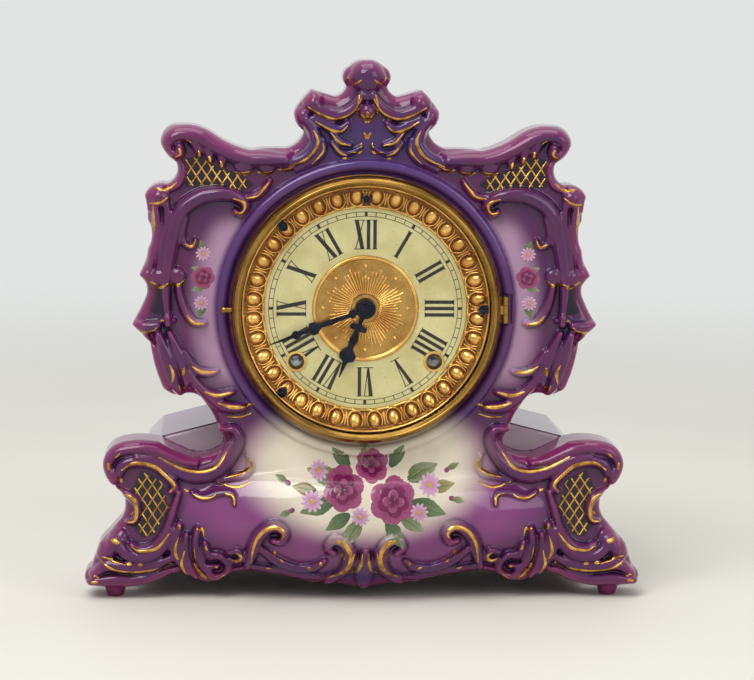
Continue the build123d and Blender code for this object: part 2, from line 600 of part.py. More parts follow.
with BuildPart() as front_plate:
    movement_plate(FRONT_PLATE_Y)
    pin(CENTER, 1.5 + FIT, -36, -30, Mode.SUBTRACT)
    pin(ESCAPE, PIVOT_R + FIT, -36, -30, Mode.SUBTRACT)
    for great in (TIME_GREAT, STRIKE_GREAT):
        pin(great, 2.6 + FIT, -36, -30, Mode.SUBTRACT)
    pin(MINUTE, 0.8, -39.4, FRONT_PLATE_Y)
    for post in POSTS:
        pin(post, 1.3, -36, -30, Mode.SUBTRACT)
finish(front_plate, "front_plate")

with BuildPart() as back_plate:
    movement_plate(BACK_PLATE_Y)
    pin(CENTER, 1.2 + FIT, -1, 3, Mode.SUBTRACT)
    pin(ESCAPE, ARBOR_R + FIT, -1, 3, Mode.SUBTRACT)
    pin(STRIKE_SECOND, ARBOR_R + FIT, -1, 3, Mode.SUBTRACT)
    for great in (TIME_GREAT, STRIKE_GREAT):
        pin(great, 1.5 + FIT, -1, 3, Mode.SUBTRACT)
    pin(VERGE, 1.0, BACK_PLATE_BACK, 5.2)
    pin(COUNT_PIVOT, 1.0, BACK_PLATE_BACK, 4.4)
finish(back_plate, "back_plate")

with BuildPart() as plate_pillars:
    for pillar in PILLARS:
        pin(pillar, 2.8, FRONT_PLATE_BACK, BACK_PLATE_Y)
        pin(pillar, 1.5, FRONT_PLATE_Y - 0.4, BACK_PLATE_BACK + 2.4)
finish(plate_pillars, "plate_pillars")

with BuildPart() as pillar_nuts:
    for x, z in PILLARS:
        with BuildSketch(upright(BACK_PLATE_BACK + 2)):
            with Locations((x, DIAL_Z + z)):
                RegularPolygon(3.0, 6)
                Circle(1.5 + FIT, mode=Mode.SUBTRACT)
        extrude(amount=2)
finish(pillar_nuts, "pillar_nuts")

with BuildPart() as movement_posts:
    for post in POSTS:
        pin(post, 3.0, PAN_FLOOR_Y, FRONT_PLATE_Y)
        pin(post, 1.3, -42, -30, Mode.SUBTRACT)
finish(movement_posts, "movement_posts")


def winding_arbor(great):
    """A winding arbor: square end, ratchet behind the great wheel and spring hub."""
    x = great[0]
    z = DIAL_Z + great[1]
    block(x - 1.35, x + 1.35, -46.2, -41, z - 1.35, z + 1.35)
    pin(great, 2.6, -41.5, -27.6)
    pin(great, 4.0, -27.6, -8.2)
    pin(great, 1.5, -8.2, BACK_PLATE_BACK)
    points = []
    for i in range(20):
        for radius, lean in ((6.4, 0.0), (7.8, 0.9)):
            angle = radians((i + lean) * 18)
            points.append((x + radius * cos(angle), z + radius * sin(angle)))
    plate_sketch(points, -29.2, -27.8)


def great_wheel(great, other):
    """A great wheel, free on its winding arbor."""
    driver(great, other, GREAT_TEETH, MAIN_MODULE, -31.6, -30.0)
    crossings(great, 12.5, 17.2, 3, 3.5, -31.6, -30.0)
    pin(great, 2.6 + FIT, -33, -28, Mode.SUBTRACT)
    pin((great[0], great[1] + 10.6), 0.8, -30.0, -27.6)


def click(great):
    """A pawl on the great wheel, its nose just clear of the ratchet."""
    x = great[0]
    z = DIAL_Z + great[1]
    plate_sketch([(x - 1.8, z + 10.0), (x + 0.6, z + 12.6), (x + 9.0, z + 5.4), (x + 8.2, z + 4.4)], -29.2, -28.2)
    rod(x, z + 10.6, 1.9, -29.2, -28.2)
    rod(x, z + 10.6, 0.8 + FIT, -30, -27, Mode.SUBTRACT)


def mainspring(x, z):
    """A wound strip: the two faces of the strip are half circles about two centres."""
    strip = 0.4
    turns = 9
    first_r = 4.6
    pitch = 1.4
    last_r = first_r + turns * pitch
    with BuildSketch(upright(-9)) as profile:
        with BuildLine():
            spiral(x, z, first_r, pitch, 2 * turns, strip / 2)
            spiral(x, z, first_r, pitch, 2 * turns, -strip / 2)
            Line((x + first_r - strip / 2, z), (x + first_r + strip / 2, z))
            Line((x + last_r - strip / 2, z), (x + last_r + strip / 2, z))
        make_face()
    extrude(profile.sketch, amount=17.6)


with BuildPart() as time_winding_arbor:
    winding_arbor(TIME_GREAT)
finish(time_winding_arbor, "time_winding_arbor")

with BuildPart() as strike_winding_arbor:
    winding_arbor(STRIKE_GREAT)
finish(strike_winding_arbor, "strike_winding_arbor")

with BuildPart() as time_great_wheel:
    great_wheel(TIME_GREAT, SECOND)
finish(time_great_wheel, "time_great_wheel")

with BuildPart() as strike_great_wheel:
    great_wheel(STRIKE_GREAT, STRIKE_SECOND)
finish(strike_great_wheel, "strike_great_wheel")

with BuildPart() as time_click:
    click(TIME_GREAT)
finish(time_click, "time_click")

with BuildPart() as strike_click:
    click(STRIKE_GREAT)
finish(strike_click, "strike_click")

with BuildPart() as time_mainspring:
    mainspring(WINDING_X, DIAL_Z + WINDING_Z)
finish(time_mainspring, "time_mainspring")

with BuildPart() as strike_mainspring:
    mainspring(-WINDING_X, DIAL_Z + WINDING_Z)
finish(strike_mainspring, "strike_mainspring")


def train_arbor(centre, y_back=BACK_PLATE_BACK - 0.4):
    """A steel arbor with a thinner pivot in each plate."""
    pin(centre, PIVOT_R, FRONT_PLATE_Y + 0.4, y_back)
    pin(centre, ARBOR_R, FRONT_PLATE_BACK + 0.4, BACK_PLATE_Y - 0.4)


with BuildPart() as time_second_wheel:
    train_arbor(SECOND)
    driven(SECOND, TIME_GREAT, MAIN_PINION, MAIN_MODULE, -32, -28)
    driver(SECOND, CENTER, SECOND_TEETH, MAIN_MODULE, -6.2, -4.6)
    crossings(SECOND, 4.5, 18.5, 2, 3, -6.2, -4.6)
finish(time_second_wheel, "time_second_wheel")

with BuildPart() as center_wheel:
    driver(CENTER, THIRD, CENTER_TEETH, CENTER_MODULE, -12, -10.6)
    crossings(CENTER, 4.2, 15.8, 2, 3, -12, -10.6)
    pin(CENTER, 2.4, -13.5, -3)
    driven(CENTER, SECOND, MAIN_PINION, MAIN_MODULE, -7.6, -3.2)
    pin(CENTER, 1.2 + FIT, -15, 0, Mode.SUBTRACT)
finish(center_wheel, "center_wheel")

with BuildPart() as time_third_wheel:
    train_arbor(THIRD)
    driven(THIRD, CENTER, LEAF_COUNT, CENTER_MODULE, -13.5, -9.2)
    driver(THIRD, ESCAPE, THIRD_TEETH, THIRD_MODULE, -20, -18.8)
    crossings(THIRD, 3.2, 13.2, 2, 2.4, -20, -18.8)
finish(time_third_wheel, "time_third_wheel")

with BuildPart() as escape_wheel:
    train_arbor(ESCAPE)
    pin(ESCAPE, ARBOR_R, -2, 5)
    driven(ESCAPE, THIRD, LEAF_COUNT, THIRD_MODULE, -21.5, -17.2)
    escape_points = []
    for i in range(ESCAPE_TEETH):
        for radius, lean in ((ESCAPE_R - 1.5, 0.0), (ESCAPE_R, 0.85), (ESCAPE_R, 0.97)):
            angle = radians((i + lean) * 360 / ESCAPE_TEETH)
            escape_points.append((radius * cos(angle), DIAL_Z + ESCAPE[1] + radius * sin(angle)))
    plate_sketch(escape_points, 3.2, 4.2)
    crossings(ESCAPE, 3.2, 11.8, 2, 2.2, 3.2, 4.2)
finish(escape_wheel, "escape_wheel")

with BuildPart() as strike_second_wheel:
    train_arbor(STRIKE_SECOND)
    pin(STRIKE_SECOND, ARBOR_R, -2, 4.6)
    driven(STRIKE_SECOND, STRIKE_GREAT, MAIN_PINION, MAIN_MODULE, -32, -28)
    driver(STRIKE_SECOND, STOP, STRIKE_SECOND_TEETH, STRIKE_MODULE, -6.2, -4.8)
    crossings(STRIKE_SECOND, 3.6, 12.6, 2, 2.6, -6.2, -4.8)
finish(strike_second_wheel, "strike_second_wheel")

with BuildPart() as count_wheel:
    count_x = STRIKE_SECOND[0]
    count_z = DIAL_Z + STRIKE_SECOND[1]
    rod(count_x, count_z, 14.0, 2.6, 3.6)
    crossings(STRIKE_SECOND, 3.8, 9.5, 2, 3, 2.6, 3.6)
    # One notch after each hour's blows, and one for each half hour
    blow = 0
    for hour in range(1, 13):
        blow += hour + 1
        notch = radians(90 + blow * 4)
        with BuildSketch(upright(3.6)):
            with Locations((count_x + 13.4 * cos(notch), count_z + 13.4 * sin(notch))):
                Rectangle(2.4, 1.1, rotation=degrees(notch))
        extrude(amount=1, mode=Mode.SUBTRACT)
    pin(STRIKE_SECOND, ARBOR_R, 2, 5, Mode.SUBTRACT)
finish(count_wheel, "count_wheel")

with BuildPart() as stop_wheel:
    train_arbor(STOP)
    driven(STOP, STRIKE_SECOND, LEAF_COUNT, STRIKE_MODULE, -7.8, -3.2)
    driver(STOP, WARNING, STOP_TEETH, STRIKE_MODULE, -16, -14.6)
    crossings(STOP, 3.4, 11.8, 2, 2.4, -16, -14.6)
finish(stop_wheel, "stop_wheel")

with BuildPart() as warning_wheel:
    train_arbor(WARNING)
    driven(WARNING, STOP, LEAF_COUNT, STRIKE_MODULE, -17.6, -13)
    driver(WARNING, FLY, WARNING_TEETH, STRIKE_MODULE, -24, -22.8)
    crossings(WARNING, 3.2, 9.8, 2, 2.2, -24, -22.8)
finish(warning_wheel, "warning_wheel")

with BuildPart() as fly:
    train_arbor(FLY)
    driven(FLY, WARNING, LEAF_COUNT, STRIKE_MODULE, -25.6, -21.2)
    pin(FLY, 2.2, -18.5, -4.5)
    block(FLY[0] - 10.5, FLY[0] + 10.5, -19, -4, DIAL_Z + FLY[1] - 0.25, DIAL_Z + FLY[1] + 0.25)
finish(fly, "fly")

with BuildPart() as count_lever:
    lever_x = COUNT_PIVOT[0]
    lever_z = DIAL_Z + COUNT_PIVOT[1]
    rod(lever_x, lever_z, 2.6, 2.4, 4.0)
    plate_sketch([(lever_x - 1.6, lever_z - 0.8), (lever_x + 1.6, lever_z + 0.8), (-43.2, DIAL_Z + 10.6),
                  (-43.0, DIAL_Z + 8.9), (-44.0, DIAL_Z + 8.9)], 2.6, 3.6)
    rod(lever_x, lever_z, 1.0 + FIT, 2, 5, Mode.SUBTRACT)
finish(count_lever, "count_lever")

with BuildPart() as hammer_arm:
    pin(HAMMER, ARBOR_R, FRONT_PLATE_Y + 0.4, GONG_Y + 1.8)
    rod(HAMMER[0], DIAL_Z + HAMMER[1], 2.4, GONG_Y - 1.8, GONG_Y + 1.8)
    with BuildSketch(Plane.XY.offset(58.5)):
        with Locations((HAMMER[0], GONG_Y)):
            Circle(0.9)
    extrude(amount=DIAL_Z + HAMMER[1] - 58.5)
finish(hammer_arm, "hammer_arm")

with BuildPart() as hammer_head:
    with BuildSketch(Plane.YZ.offset(-26.0)):
        with Locations((GONG_Y, 55.5)):
            Circle(3.6)
    extrude(amount=11)
    with BuildSketch(Plane.XY.offset(58.5)):
        with Locations((HAMMER[0], GONG_Y)):
            Circle(0.9)
    extrude(amount=2, mode=Mode.SUBTRACT)
finish(hammer_head, "hammer_head")

with BuildPart() as gong_coil:
    gong_turns = 4
    gong_pitch = 5.2
    gong_first = GONG_R - gong_turns * gong_pitch
    with BuildLine(upright(GONG_Y)) as gong_path:
        spiral(GONG_X, GONG_Z, gong_first, gong_pitch, 2 * gong_turns, 0)
    with BuildSketch(Plane(origin=gong_path.line @ 0, z_dir=gong_path.line % 0)):
        Circle(1.2)
    sweep(path=gong_path.line)
    gong_points = [gong_path.line @ (i / 480) for i in range(481)]
    gong_gaps = [(p - q).length - 2.4 for i, p in enumerate(gong_points) for q in gong_points[i + 24:]]
    print("least gap between gong turns", round(min(gong_gaps), 2))
finish(gong_coil, "gong_coil")

with BuildPart() as gong_post:
    rod(GONG_X, GONG_Z, 5.0, GONG_Y + 6, BASE_BACK_Y - WALL)
    rod(GONG_X, GONG_Z, 2.1, BASE_BACK_Y - WALL, BASE_BACK_Y + 2)
    rod(GONG_X, GONG_Z, 5.2, BASE_BACK_Y, BASE_BACK_Y + 2)
    # Arm that grips the inner end of the coil
    block(GONG_X - 3, GONG_X + gong_first + 3, GONG_Y + 6, GONG_Y + 10, GONG_Z - 3, GONG_Z + 3)
    block(GONG_X + gong_first - 3, GONG_X + gong_first + 3, GONG_Y - 2.4, GONG_Y + 7, GONG_Z - 4, GONG_Z)
finish(gong_post, "gong_post")

with BuildPart() as center_arbor:
    pin(CENTER, 1.2, -33.5, BACK_PLATE_BACK)
    pin(CENTER, 1.5, -47.0, -31)
    pin(CENTER, 1.1, -49.4, -46)
    driver(CENTER, MINUTE, CANNON_TEETH, MOTION_MODULE, -36.4, -34.8)
finish(center_arbor, "center_arbor")

with BuildPart() as minute_wheel:
    driven(MINUTE, CENTER, MINUTE_TEETH, MOTION_MODULE, -36.2, -35.0)
    driven(MINUTE, CENTER, LEAF_COUNT, MOTION_MODULE, -38.9, -36.2)
    pin(MINUTE, 0.8 + FIT, -40, -34, Mode.SUBTRACT)
finish(minute_wheel, "minute_wheel")

with BuildPart() as hour_wheel:
    driver(CENTER, MINUTE, HOUR_TEETH, MOTION_MODULE, -38.6, -37.4)
    pin(CENTER, 2.6, -45.9, -37.4)
    pin(CENTER, 1.5 + FIT, -47, -36, Mode.SUBTRACT)
finish(hour_wheel, "hour_wheel")


def turned_points(points, angle):
    """Hand outlines are drawn towards twelve, as (across, along), and then turned clockwise."""
    placed = []
    for across, along in points:
        x = across * cos(radians(angle)) + along * sin(radians(angle))
        z = -across * sin(radians(angle)) + along * cos(radians(angle))
        placed.append((x, DIAL_Z + z))
    return placed


def hand_plate(half, angle, y_front, y_back):
    """A hand, from the right half of its outline."""
    outline = half + [(-across, along) for across, along in reversed(half)]
    plate_sketch(turned_points(outline, angle), y_front, y_back)


with BuildPart() as minute_hand:
    hand_plate([(2.2, 0), (1.1, 6), (2.4, 7.4), (2.4, 8.6), (1.1, 9.6), (1.5, 20), (1.0, 26), (3.4, 29),
                (3.6, 31.5), (1.2, 33), (1.1, 37), (2.6, 40.5), (0.9, 43), (0.7, 48), (0.25, 55.8)],
               MINUTE_ANGLE, -47.6, -47.0)
    pin(CENTER, 5.2, -47.6, -47.0)
    pin(CENTER, 1.1, -49, -46, Mode.SUBTRACT)
finish(minute_hand, "minute_hand")

with BuildPart() as hour_hand:
    hand_plate([(2.2, 0), (1.2, 7), (1.2, 9), (4.6, 10), (4.6, 12.4), (1.2, 13), (2.2, 18), (1.4, 23),
                (4.6, 26.5), (4.2, 29.5), (1.4, 31), (1.0, 34), (0.25, 40)], HOUR_ANGLE, -45.6, -45.0)
    pin(CENTER, 4.6, -45.6, -45.0)
    pin(CENTER, 2.6, -47, -44, Mode.SUBTRACT)
finish(hour_hand, "hour_hand")

with BuildPart() as hand_nut:
    pin(CENTER, 3.6, -48.9, -47.6)
    pin(CENTER, 2.2, -49.7, -48.9)
    pin(CENTER, 1.1, -49.4, -47, Mode.SUBTRACT)
finish(hand_nut, "hand_nut")

with BuildPart() as verge:
    pin(VERGE, 2.6, 2.8, 4.8)
    for side in (-1, 1):
        plate_sketch([(0, SWING_PLANE - 1.8), (side * 13.0, DIAL_Z + 43.9), (side * 12.0, DIAL_Z + 42.2),
                      (side * 13.2, DIAL_Z + 41.8), (side * 15.0, DIAL_Z + 44.6),
                      (0, SWING_PLANE + 1.2)], 3.2, 4.4)
    # Crutch wire: back past the plate and down to a fork about the pendulum rod
    block(-0.6, 0.6, 4.4, 7.2, SWING_PLANE - 4.2, SWING_PLANE - 2.2)
    block(-0.6, 0.6, 6.2, 7.4, SWING_PLANE - 26, SWING_PLANE - 2.2)
    block(-3.0, 3.0, 6.2, 8.4, SWING_PLANE - 28, SWING_PLANE - 26)
    for side in (-1, 1):
        block(side * 2.1 - 0.8, side * 2.1 + 0.8, 8.4, PENDULUM_Y + 2, SWING_PLANE - 28, SWING_PLANE - 26)
    pin(VERGE, 1.0 + FIT, 2, 6.6, Mode.SUBTRACT)
finish(verge, "verge")

with BuildPart() as pendulum_rod:
    with BuildSketch(Plane.XY.offset(BOB_Z)):
        with Locations((0, PENDULUM_Y)):
            Circle(0.9)
    extrude(amount=SWING_PLANE - 6 - BOB_Z)
    block(-2.2, 2.2, PENDULUM_Y - 1.2, PENDULUM_Y + 1.2, SWING_PLANE - 8, SWING_PLANE - 4)
finish(pendulum_rod, "pendulum_rod")

with BuildPart() as pendulum_bob:
    with BuildSketch(Plane.XY.offset(BOB_Z)):
        with BuildLine():
            Line((0, PENDULUM_Y - 4), (0, PENDULUM_Y + 4))
            ThreePointArc((0, PENDULUM_Y + 4), (BOB_R * 0.7, PENDULUM_Y + 2.6), (BOB_R, PENDULUM_Y + 0.5))
            Line((BOB_R, PENDULUM_Y + 0.5), (BOB_R, PENDULUM_Y - 0.5))
            ThreePointArc((BOB_R, PENDULUM_Y - 0.5), (BOB_R * 0.7, PENDULUM_Y - 2.6), (0, PENDULUM_Y - 4))
        make_face()
    revolve(axis=Axis((0, 0, BOB_Z), (0, 1, 0)))
    with BuildSketch(Plane.XY.offset(BOB_Z)):
        with Locations((0, PENDULUM_Y)):
            Circle(0.9)
    extrude(amount=BOB_R + 2, mode=Mode.SUBTRACT)
finish(pendulum_bob, "pendulum_bob")

with BuildPart() as suspension_cock:
    for side in (-1, 1):
        block(side * 14 - 2, side * 14 + 2, BACK_PLATE_BACK, PENDULUM_Y + 3, SWING_PLANE - 4, SWING_PLANE + 15)
    block(-16, 16, PENDULUM_Y - 3, PENDULUM_Y + 3, SWING_PLANE + 9.4, SWING_PLANE + 15)
    block(-0.12, 0.12, PENDULUM_Y - 2, PENDULUM_Y + 2, SWING_PLANE + 9, SWING_PLANE + 13, Mode.SUBTRACT)
finish(suspension_cock, "suspension_cock")

with BuildPart() as suspension_spring:
    block(-0.12, 0.12, PENDULUM_Y - 2, PENDULUM_Y + 2, SWING_PLANE - 3.4, SWING_PLANE + 13)
finish(suspension_spring, "suspension_spring")

REGULATOR_PINION_R = 1.6
with BuildPart() as regulator_arbor:
    pin((0, REGULATOR_R), 1.9, -46.5, -30)
    pin((0, REGULATOR_R), 1.0, -30, 8.4)
    gear((0, REGULATOR_R), 8, 2 * REGULATOR_PINION_R / 8, 0, 5.2, 7.8)
    block(-0.3, 0.3, -46.6, -45.6, DIAL_Z + REGULATOR_R - 2, DIAL_Z + REGULATOR_R + 2, Mode.SUBTRACT)
finish(regulator_arbor, "regulator_arbor")

with BuildPart() as regulator_slide:
    # Block with a slit that grips the suspension spring
    block(-4.5, 4.5, PENDULUM_Y - 3, PENDULUM_Y + 3, SWING_PLANE + 3.4, SWING_PLANE + 6.2)
    block(-0.22, 0.22, PENDULUM_Y - 4, PENDULUM_Y + 4, SWING_PLANE + 3, SWING_PLANE + 7, Mode.SUBTRACT)
    block(-4.5, 4.5, PENDULUM_Y - 3, PENDULUM_Y - 2.3, SWING_PLANE + 3.4, SWING_PLANE + 6.2)
    block(2.2, 4.5, 5.4, PENDULUM_Y - 2.4, SWING_PLANE + 3.4, SWING_PLANE + 6.2)
    # Rack beside the pinion
    block(2.2, 4.5, 5.4, 7.6, SWING_PLANE + 2, SWING_PLANE + 14)
    rack_step = 2 * pi * REGULATOR_PINION_R / 8
    for i in range(-3, 4):
        middle = DIAL_Z + REGULATOR_R + (i + 0.5) * rack_step
        plate_sketch([(2.3, middle - 0.3), (1.35, middle - 0.12), (1.35, middle + 0.12), (2.3, middle + 0.3)],
                     5.4, 7.6)
finish(regulator_slide, "regulator_slide")
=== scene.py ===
import bpy
import json
import math
import random
import numpy as np
import openvdb
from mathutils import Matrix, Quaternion, Vector


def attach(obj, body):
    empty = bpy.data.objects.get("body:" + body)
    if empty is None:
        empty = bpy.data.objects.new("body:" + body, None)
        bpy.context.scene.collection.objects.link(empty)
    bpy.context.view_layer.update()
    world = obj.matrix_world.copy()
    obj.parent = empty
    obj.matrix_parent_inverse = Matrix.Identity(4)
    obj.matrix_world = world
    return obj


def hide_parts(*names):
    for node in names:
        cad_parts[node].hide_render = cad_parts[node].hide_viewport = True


# China mantel clock. Lengths in this script are millimetres until a mesh is made.
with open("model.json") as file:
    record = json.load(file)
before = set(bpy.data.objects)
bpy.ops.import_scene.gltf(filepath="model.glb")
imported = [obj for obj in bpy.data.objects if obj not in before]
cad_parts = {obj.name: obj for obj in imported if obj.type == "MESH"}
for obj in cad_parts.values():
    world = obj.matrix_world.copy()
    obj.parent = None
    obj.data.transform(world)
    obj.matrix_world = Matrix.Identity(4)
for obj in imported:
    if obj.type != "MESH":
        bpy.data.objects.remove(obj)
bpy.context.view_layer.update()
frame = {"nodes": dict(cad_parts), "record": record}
NODES = frame["nodes"]
MM = 0.001
DIAL_Z = 160.0
FACE_Y = -46.0
FRONT_LIMIT_Y = -67.5      # foremost that the relief may stand
SLAB_BACK_Y = -18.02       # back of the scrolled front
DRUM_HOLLOW_R = 84
DIAL_HOLE_R = 69
RECESS_R = 74.2            # where the bezel closes
RING_R = 78                # bead round the bezel
RING_ROLL = 3.2
BELLY_AXIS_Y = 200         # upright axis about which the belly is turned
BELLY_R = 234.2
BELLY_ROLL = 32.8
BELLY_MID_Z = 43
EDGE_ROUND = 7.5
FOOT_AT = (136, -34)       # x and y of a front foot
PRINT_Y = -42.86           # just in front of the dial plate
STEP = 0.5                 # spacing of the tables of the front
CELL = 0.7                 # spacing of the field that becomes its mesh
rng = random.Random(7)


# Materials
def linear(r, g, b):
    """A colour from 0-255 values as the shader wants it."""
    return tuple(((c / 255 + 0.055) / 1.055) ** 2.4 if c > 10 else c / 255 / 12.92 for c in (r, g, b)) + (1.0,)


def material(name, rough, metal=0.0, coat=0.0):
    m = bpy.data.materials.new(name)
    m.use_nodes = True
    tree = m.node_tree
    shader = tree.nodes["Principled BSDF"]
    shader.inputs["Roughness"].default_value = rough
    shader.inputs["Metallic"].default_value = metal
    shader.inputs["Coat Weight"].default_value = coat
    shader.inputs["Specular IOR Level"].default_value = 0.5 if metal or not coat else 0.34
    shader.inputs["Coat Roughness"].default_value = 0.03
    return m, tree, shader


def noise(tree, scale, detail=3.0):
    where = tree.nodes.new("ShaderNodeTexCoord")
    n = tree.nodes.new("ShaderNodeTexNoise")
    n.inputs["Scale"].default_value = scale
    n.inputs["Detail"].default_value = detail
    tree.links.new(where.outputs["Object"], n.inputs["Vector"])
    return n.outputs["Fac"]


def ramp(tree, fac, stops):
    r = tree.nodes.new("ShaderNodeValToRGB")
    while len(r.color_ramp.elements) < len(stops):
        r.color_ramp.elements.new(0.5)
    for e, (at, colour) in zip(r.color_ramp.elements, stops):
        e.position = at
        e.color = colour
    tree.links.new(fac, r.inputs["Fac"])
    return r.outputs["Color"]


def bump(tree, shader, fac, strength, distance):
    b = tree.nodes.new("ShaderNodeBump")
    b.inputs["Strength"].default_value = strength
    b.inputs["Distance"].default_value = distance
    tree.links.new(fac, b.inputs["Height"])
    tree.links.new(b.outputs["Normal"], shader.inputs["Normal"])


def mix(tree, kind, fac, a, b):
    m = tree.nodes.new("ShaderNodeMix")
    m.data_type = "RGBA"
    m.blend_type = kind
    if isinstance(fac, float):
        m.inputs["Factor"].default_value = fac
    else:
        tree.links.new(fac, m.inputs["Factor"])
    tree.links.new(a, m.inputs["A"])
    tree.links.new(b, m.inputs["B"])
    return m.outputs["Result"]


def metal(name, dark, light, rough, scale=90.0, grain=0.15, dirty_and_shaded=False):
    """Worn metal: colour and gloss wander, with fine scratches, and dirt with painted shade where the mesh says so.
    """
    m, tree, shader = material(name, rough, 1.0)
    tone = ramp(tree, noise(tree, scale, 6.0), [(0.35, dark), (0.65, light)])
    if dirty_and_shaded:
        # The mesh colour darkens the recesses: dirt and painted shade together
        dirt_and_shade = tree.nodes.new("ShaderNodeAttribute")
        dirt_and_shade.attribute_name = "Col"
        tone = mix(tree, "MULTIPLY", 1.0, tone, dirt_and_shade.outputs["Color"])
    tree.links.new(tone, shader.inputs["Base Color"])
    spread = tree.nodes.new("ShaderNodeMapRange")
    spread.inputs["To Min"].default_value = max(0.05, rough - 0.1)
    spread.inputs["To Max"].default_value = rough + 0.12
    tree.links.new(noise(tree, scale * 2.3, 4.0), spread.inputs["Value"])
    tree.links.new(spread.outputs["Result"], shader.inputs["Roughness"])
    bump(tree, shader, noise(tree, scale * 12, 5.0), grain, 0.0002)
    return m


def painted(name, rough, coat, mottle=0.12, wave=0.05):
    """A glaze that takes its colour from the mesh and pools a little unevenly."""
    m, tree, shader = material(name, rough, 0.0, coat)
    paint = tree.nodes.new("ShaderNodeAttribute")
    paint.attribute_name = "Col"
    shade = ramp(tree, noise(tree, 45.0, 5.0), [(0.3, (1 - mottle,) * 3 + (1,)), (0.7, (1, 1, 1, 1))])
    tree.links.new(mix(tree, "MULTIPLY", 1.0, paint.outputs["Color"], shade), shader.inputs["Base Color"])
    bump(tree, shader, noise(tree, 160.0, 3.0), wave, 0.0004)
    return m


CHINA = painted("glazed_china", 0.1, 0.2, 0.16)
PAINT = painted("china_painting", 0.16, 0.2, 0.2)
GOLD = metal("gilding", linear(150, 100, 35), linear(228, 178, 88), 0.26, 220.0)
BRASS = metal("aged_brass", linear(134, 102, 46), linear(170, 132, 66), 0.2, 60.0)
GILT = metal("stamped_gilt_brass", linear(196, 142, 66), linear(246, 200, 116), 0.24, 70.0)
# Its mesh colour darkens the recesses with dirt and painted shade
STAMPED = metal("stamped_relief", linear(206, 150, 70), linear(250, 204, 118), 0.24, 70.0, 0.05, True)
SATIN = metal("satin_brass", linear(176, 146, 82), linear(204, 174, 104), 0.34, 150.0)
BLUED = metal("blued_steel", linear(14, 14, 20), linear(34, 36, 52), 0.3)
STEEL = metal("bright_steel", linear(128, 128, 132), linear(176, 176, 180), 0.3)
SPRING = metal("spring_steel", linear(50, 56, 72), linear(84, 92, 110), 0.35)
IRON = metal("japanned_iron", linear(18, 18, 18), linear(38, 36, 34), 0.45)

INK, tree, shader = material("black_enamel", 0.35)
tree.links.new(ramp(tree, noise(tree, 400.0), [(0.3, linear(14, 12, 14)), (0.8, linear(40, 36, 34))]),
               shader.inputs["Base Color"])

DIAL, tree, shader = material("cream_dial", 0.42, 0.0, 0.15)
grime = ramp(tree, noise(tree, 55.0, 6.0), [(0.3, linear(206, 192, 128)), (0.62, linear(228, 217, 160))])
specks = ramp(tree, noise(tree, 700.0, 2.0), [(0.28, (0.72, 0.66, 0.5, 1)), (0.36, (1, 1, 1, 1))])
tree.links.new(mix(tree, "MULTIPLY", 1.0, grime, specks), shader.inputs["Base Color"])
bump(tree, shader, noise(tree, 900.0), 0.06, 0.0001)

GLASS, tree, shader = material("bevelled_glass", 0.01)
shader.inputs["Transmission Weight"].default_value = 1.0
shader.inputs["IOR"].default_value = 1.2
tree.links.new(ramp(tree, noise(tree, 12.0), [(0.3, (0.97, 0.99, 0.97, 1)), (0.7, (1, 1, 1, 1))]),
               shader.inputs["Base Color"])

# The plain glaze of the rear: grey mauve low down, purple along the shoulders and round the drum
REAR, tree, shader = material("rear_glaze", 0.12, 0.0, 0.2)
where = tree.nodes.new("ShaderNodeTexCoord")
split = tree.nodes.new("ShaderNodeSeparateXYZ")
tree.links.new(where.outputs["Object"], split.inputs["Vector"])
height = tree.nodes.new("ShaderNodeMapRange")
height.inputs["From Max"].default_value = 0.29
tree.links.new(split.outputs["Z"], height.inputs["Value"])
banded = ramp(tree, height.outputs["Result"],
              [(0.0, linear(176, 146, 170)), (0.12, linear(206, 196, 200)), (0.26, linear(198, 186, 196)),
               (0.31, linear(128, 78, 132)), (0.34, linear(112, 70, 122)), (0.6, linear(128, 92, 140)),
               (1.0, linear(96, 56, 108))])
cloud = ramp(tree, noise(tree, 22.0, 5.0), [(0.3, (0.82, 0.8, 0.84, 1)), (0.7, (1, 1, 1, 1))])
tree.links.new(mix(tree, "MULTIPLY", 1.0, banded, cloud), shader.inputs["Base Color"])
bump(tree, shader, noise(tree, 120.0, 3.0), 0.06, 0.0005)

BASE_REAR = REAR.copy()
BASE_REAR.name = "rear_base_glaze"
for node in BASE_REAR.node_tree.nodes:
    if node.bl_idname == "ShaderNodeValToRGB" and len(node.color_ramp.elements) > 3:
        for e, (at, rgb) in zip(node.color_ramp.elements, [
                (0.0, (168, 134, 156)), (0.1, (190, 176, 180)), (0.2, (184, 168, 176)), (0.27,
                (166, 140, 158)),
                (0.3, (138, 92, 130)), (0.33, (104, 46, 94)), (1.0, (104, 46, 94))]):
            e.position = at
            e.color = linear(*rgb)

FINISH = {"china": REAR, "bezel_brass": BRASS, "gilt_brass": GILT, "movement_brass": SATIN, "dial_enamel": DIAL,
          "glass": GLASS, "blued_steel": BLUED, "steel": STEEL, "spring_steel": SPRING, "iron": IRON}
for row in frame["record"]["subparts"]:
    obj = NODES[row["node"]]
    if not obj.material_slots:
        obj.data.materials.append(None)
    for s in obj.material_slots:
        s.material = FINISH[row["material_slot"]]
for name, finish in (("case_screws", BLUED), ("china_base", BASE_REAR), ("hand_nut", BLUED)):
    for s in NODES[name].material_slots:
        s.material = finish


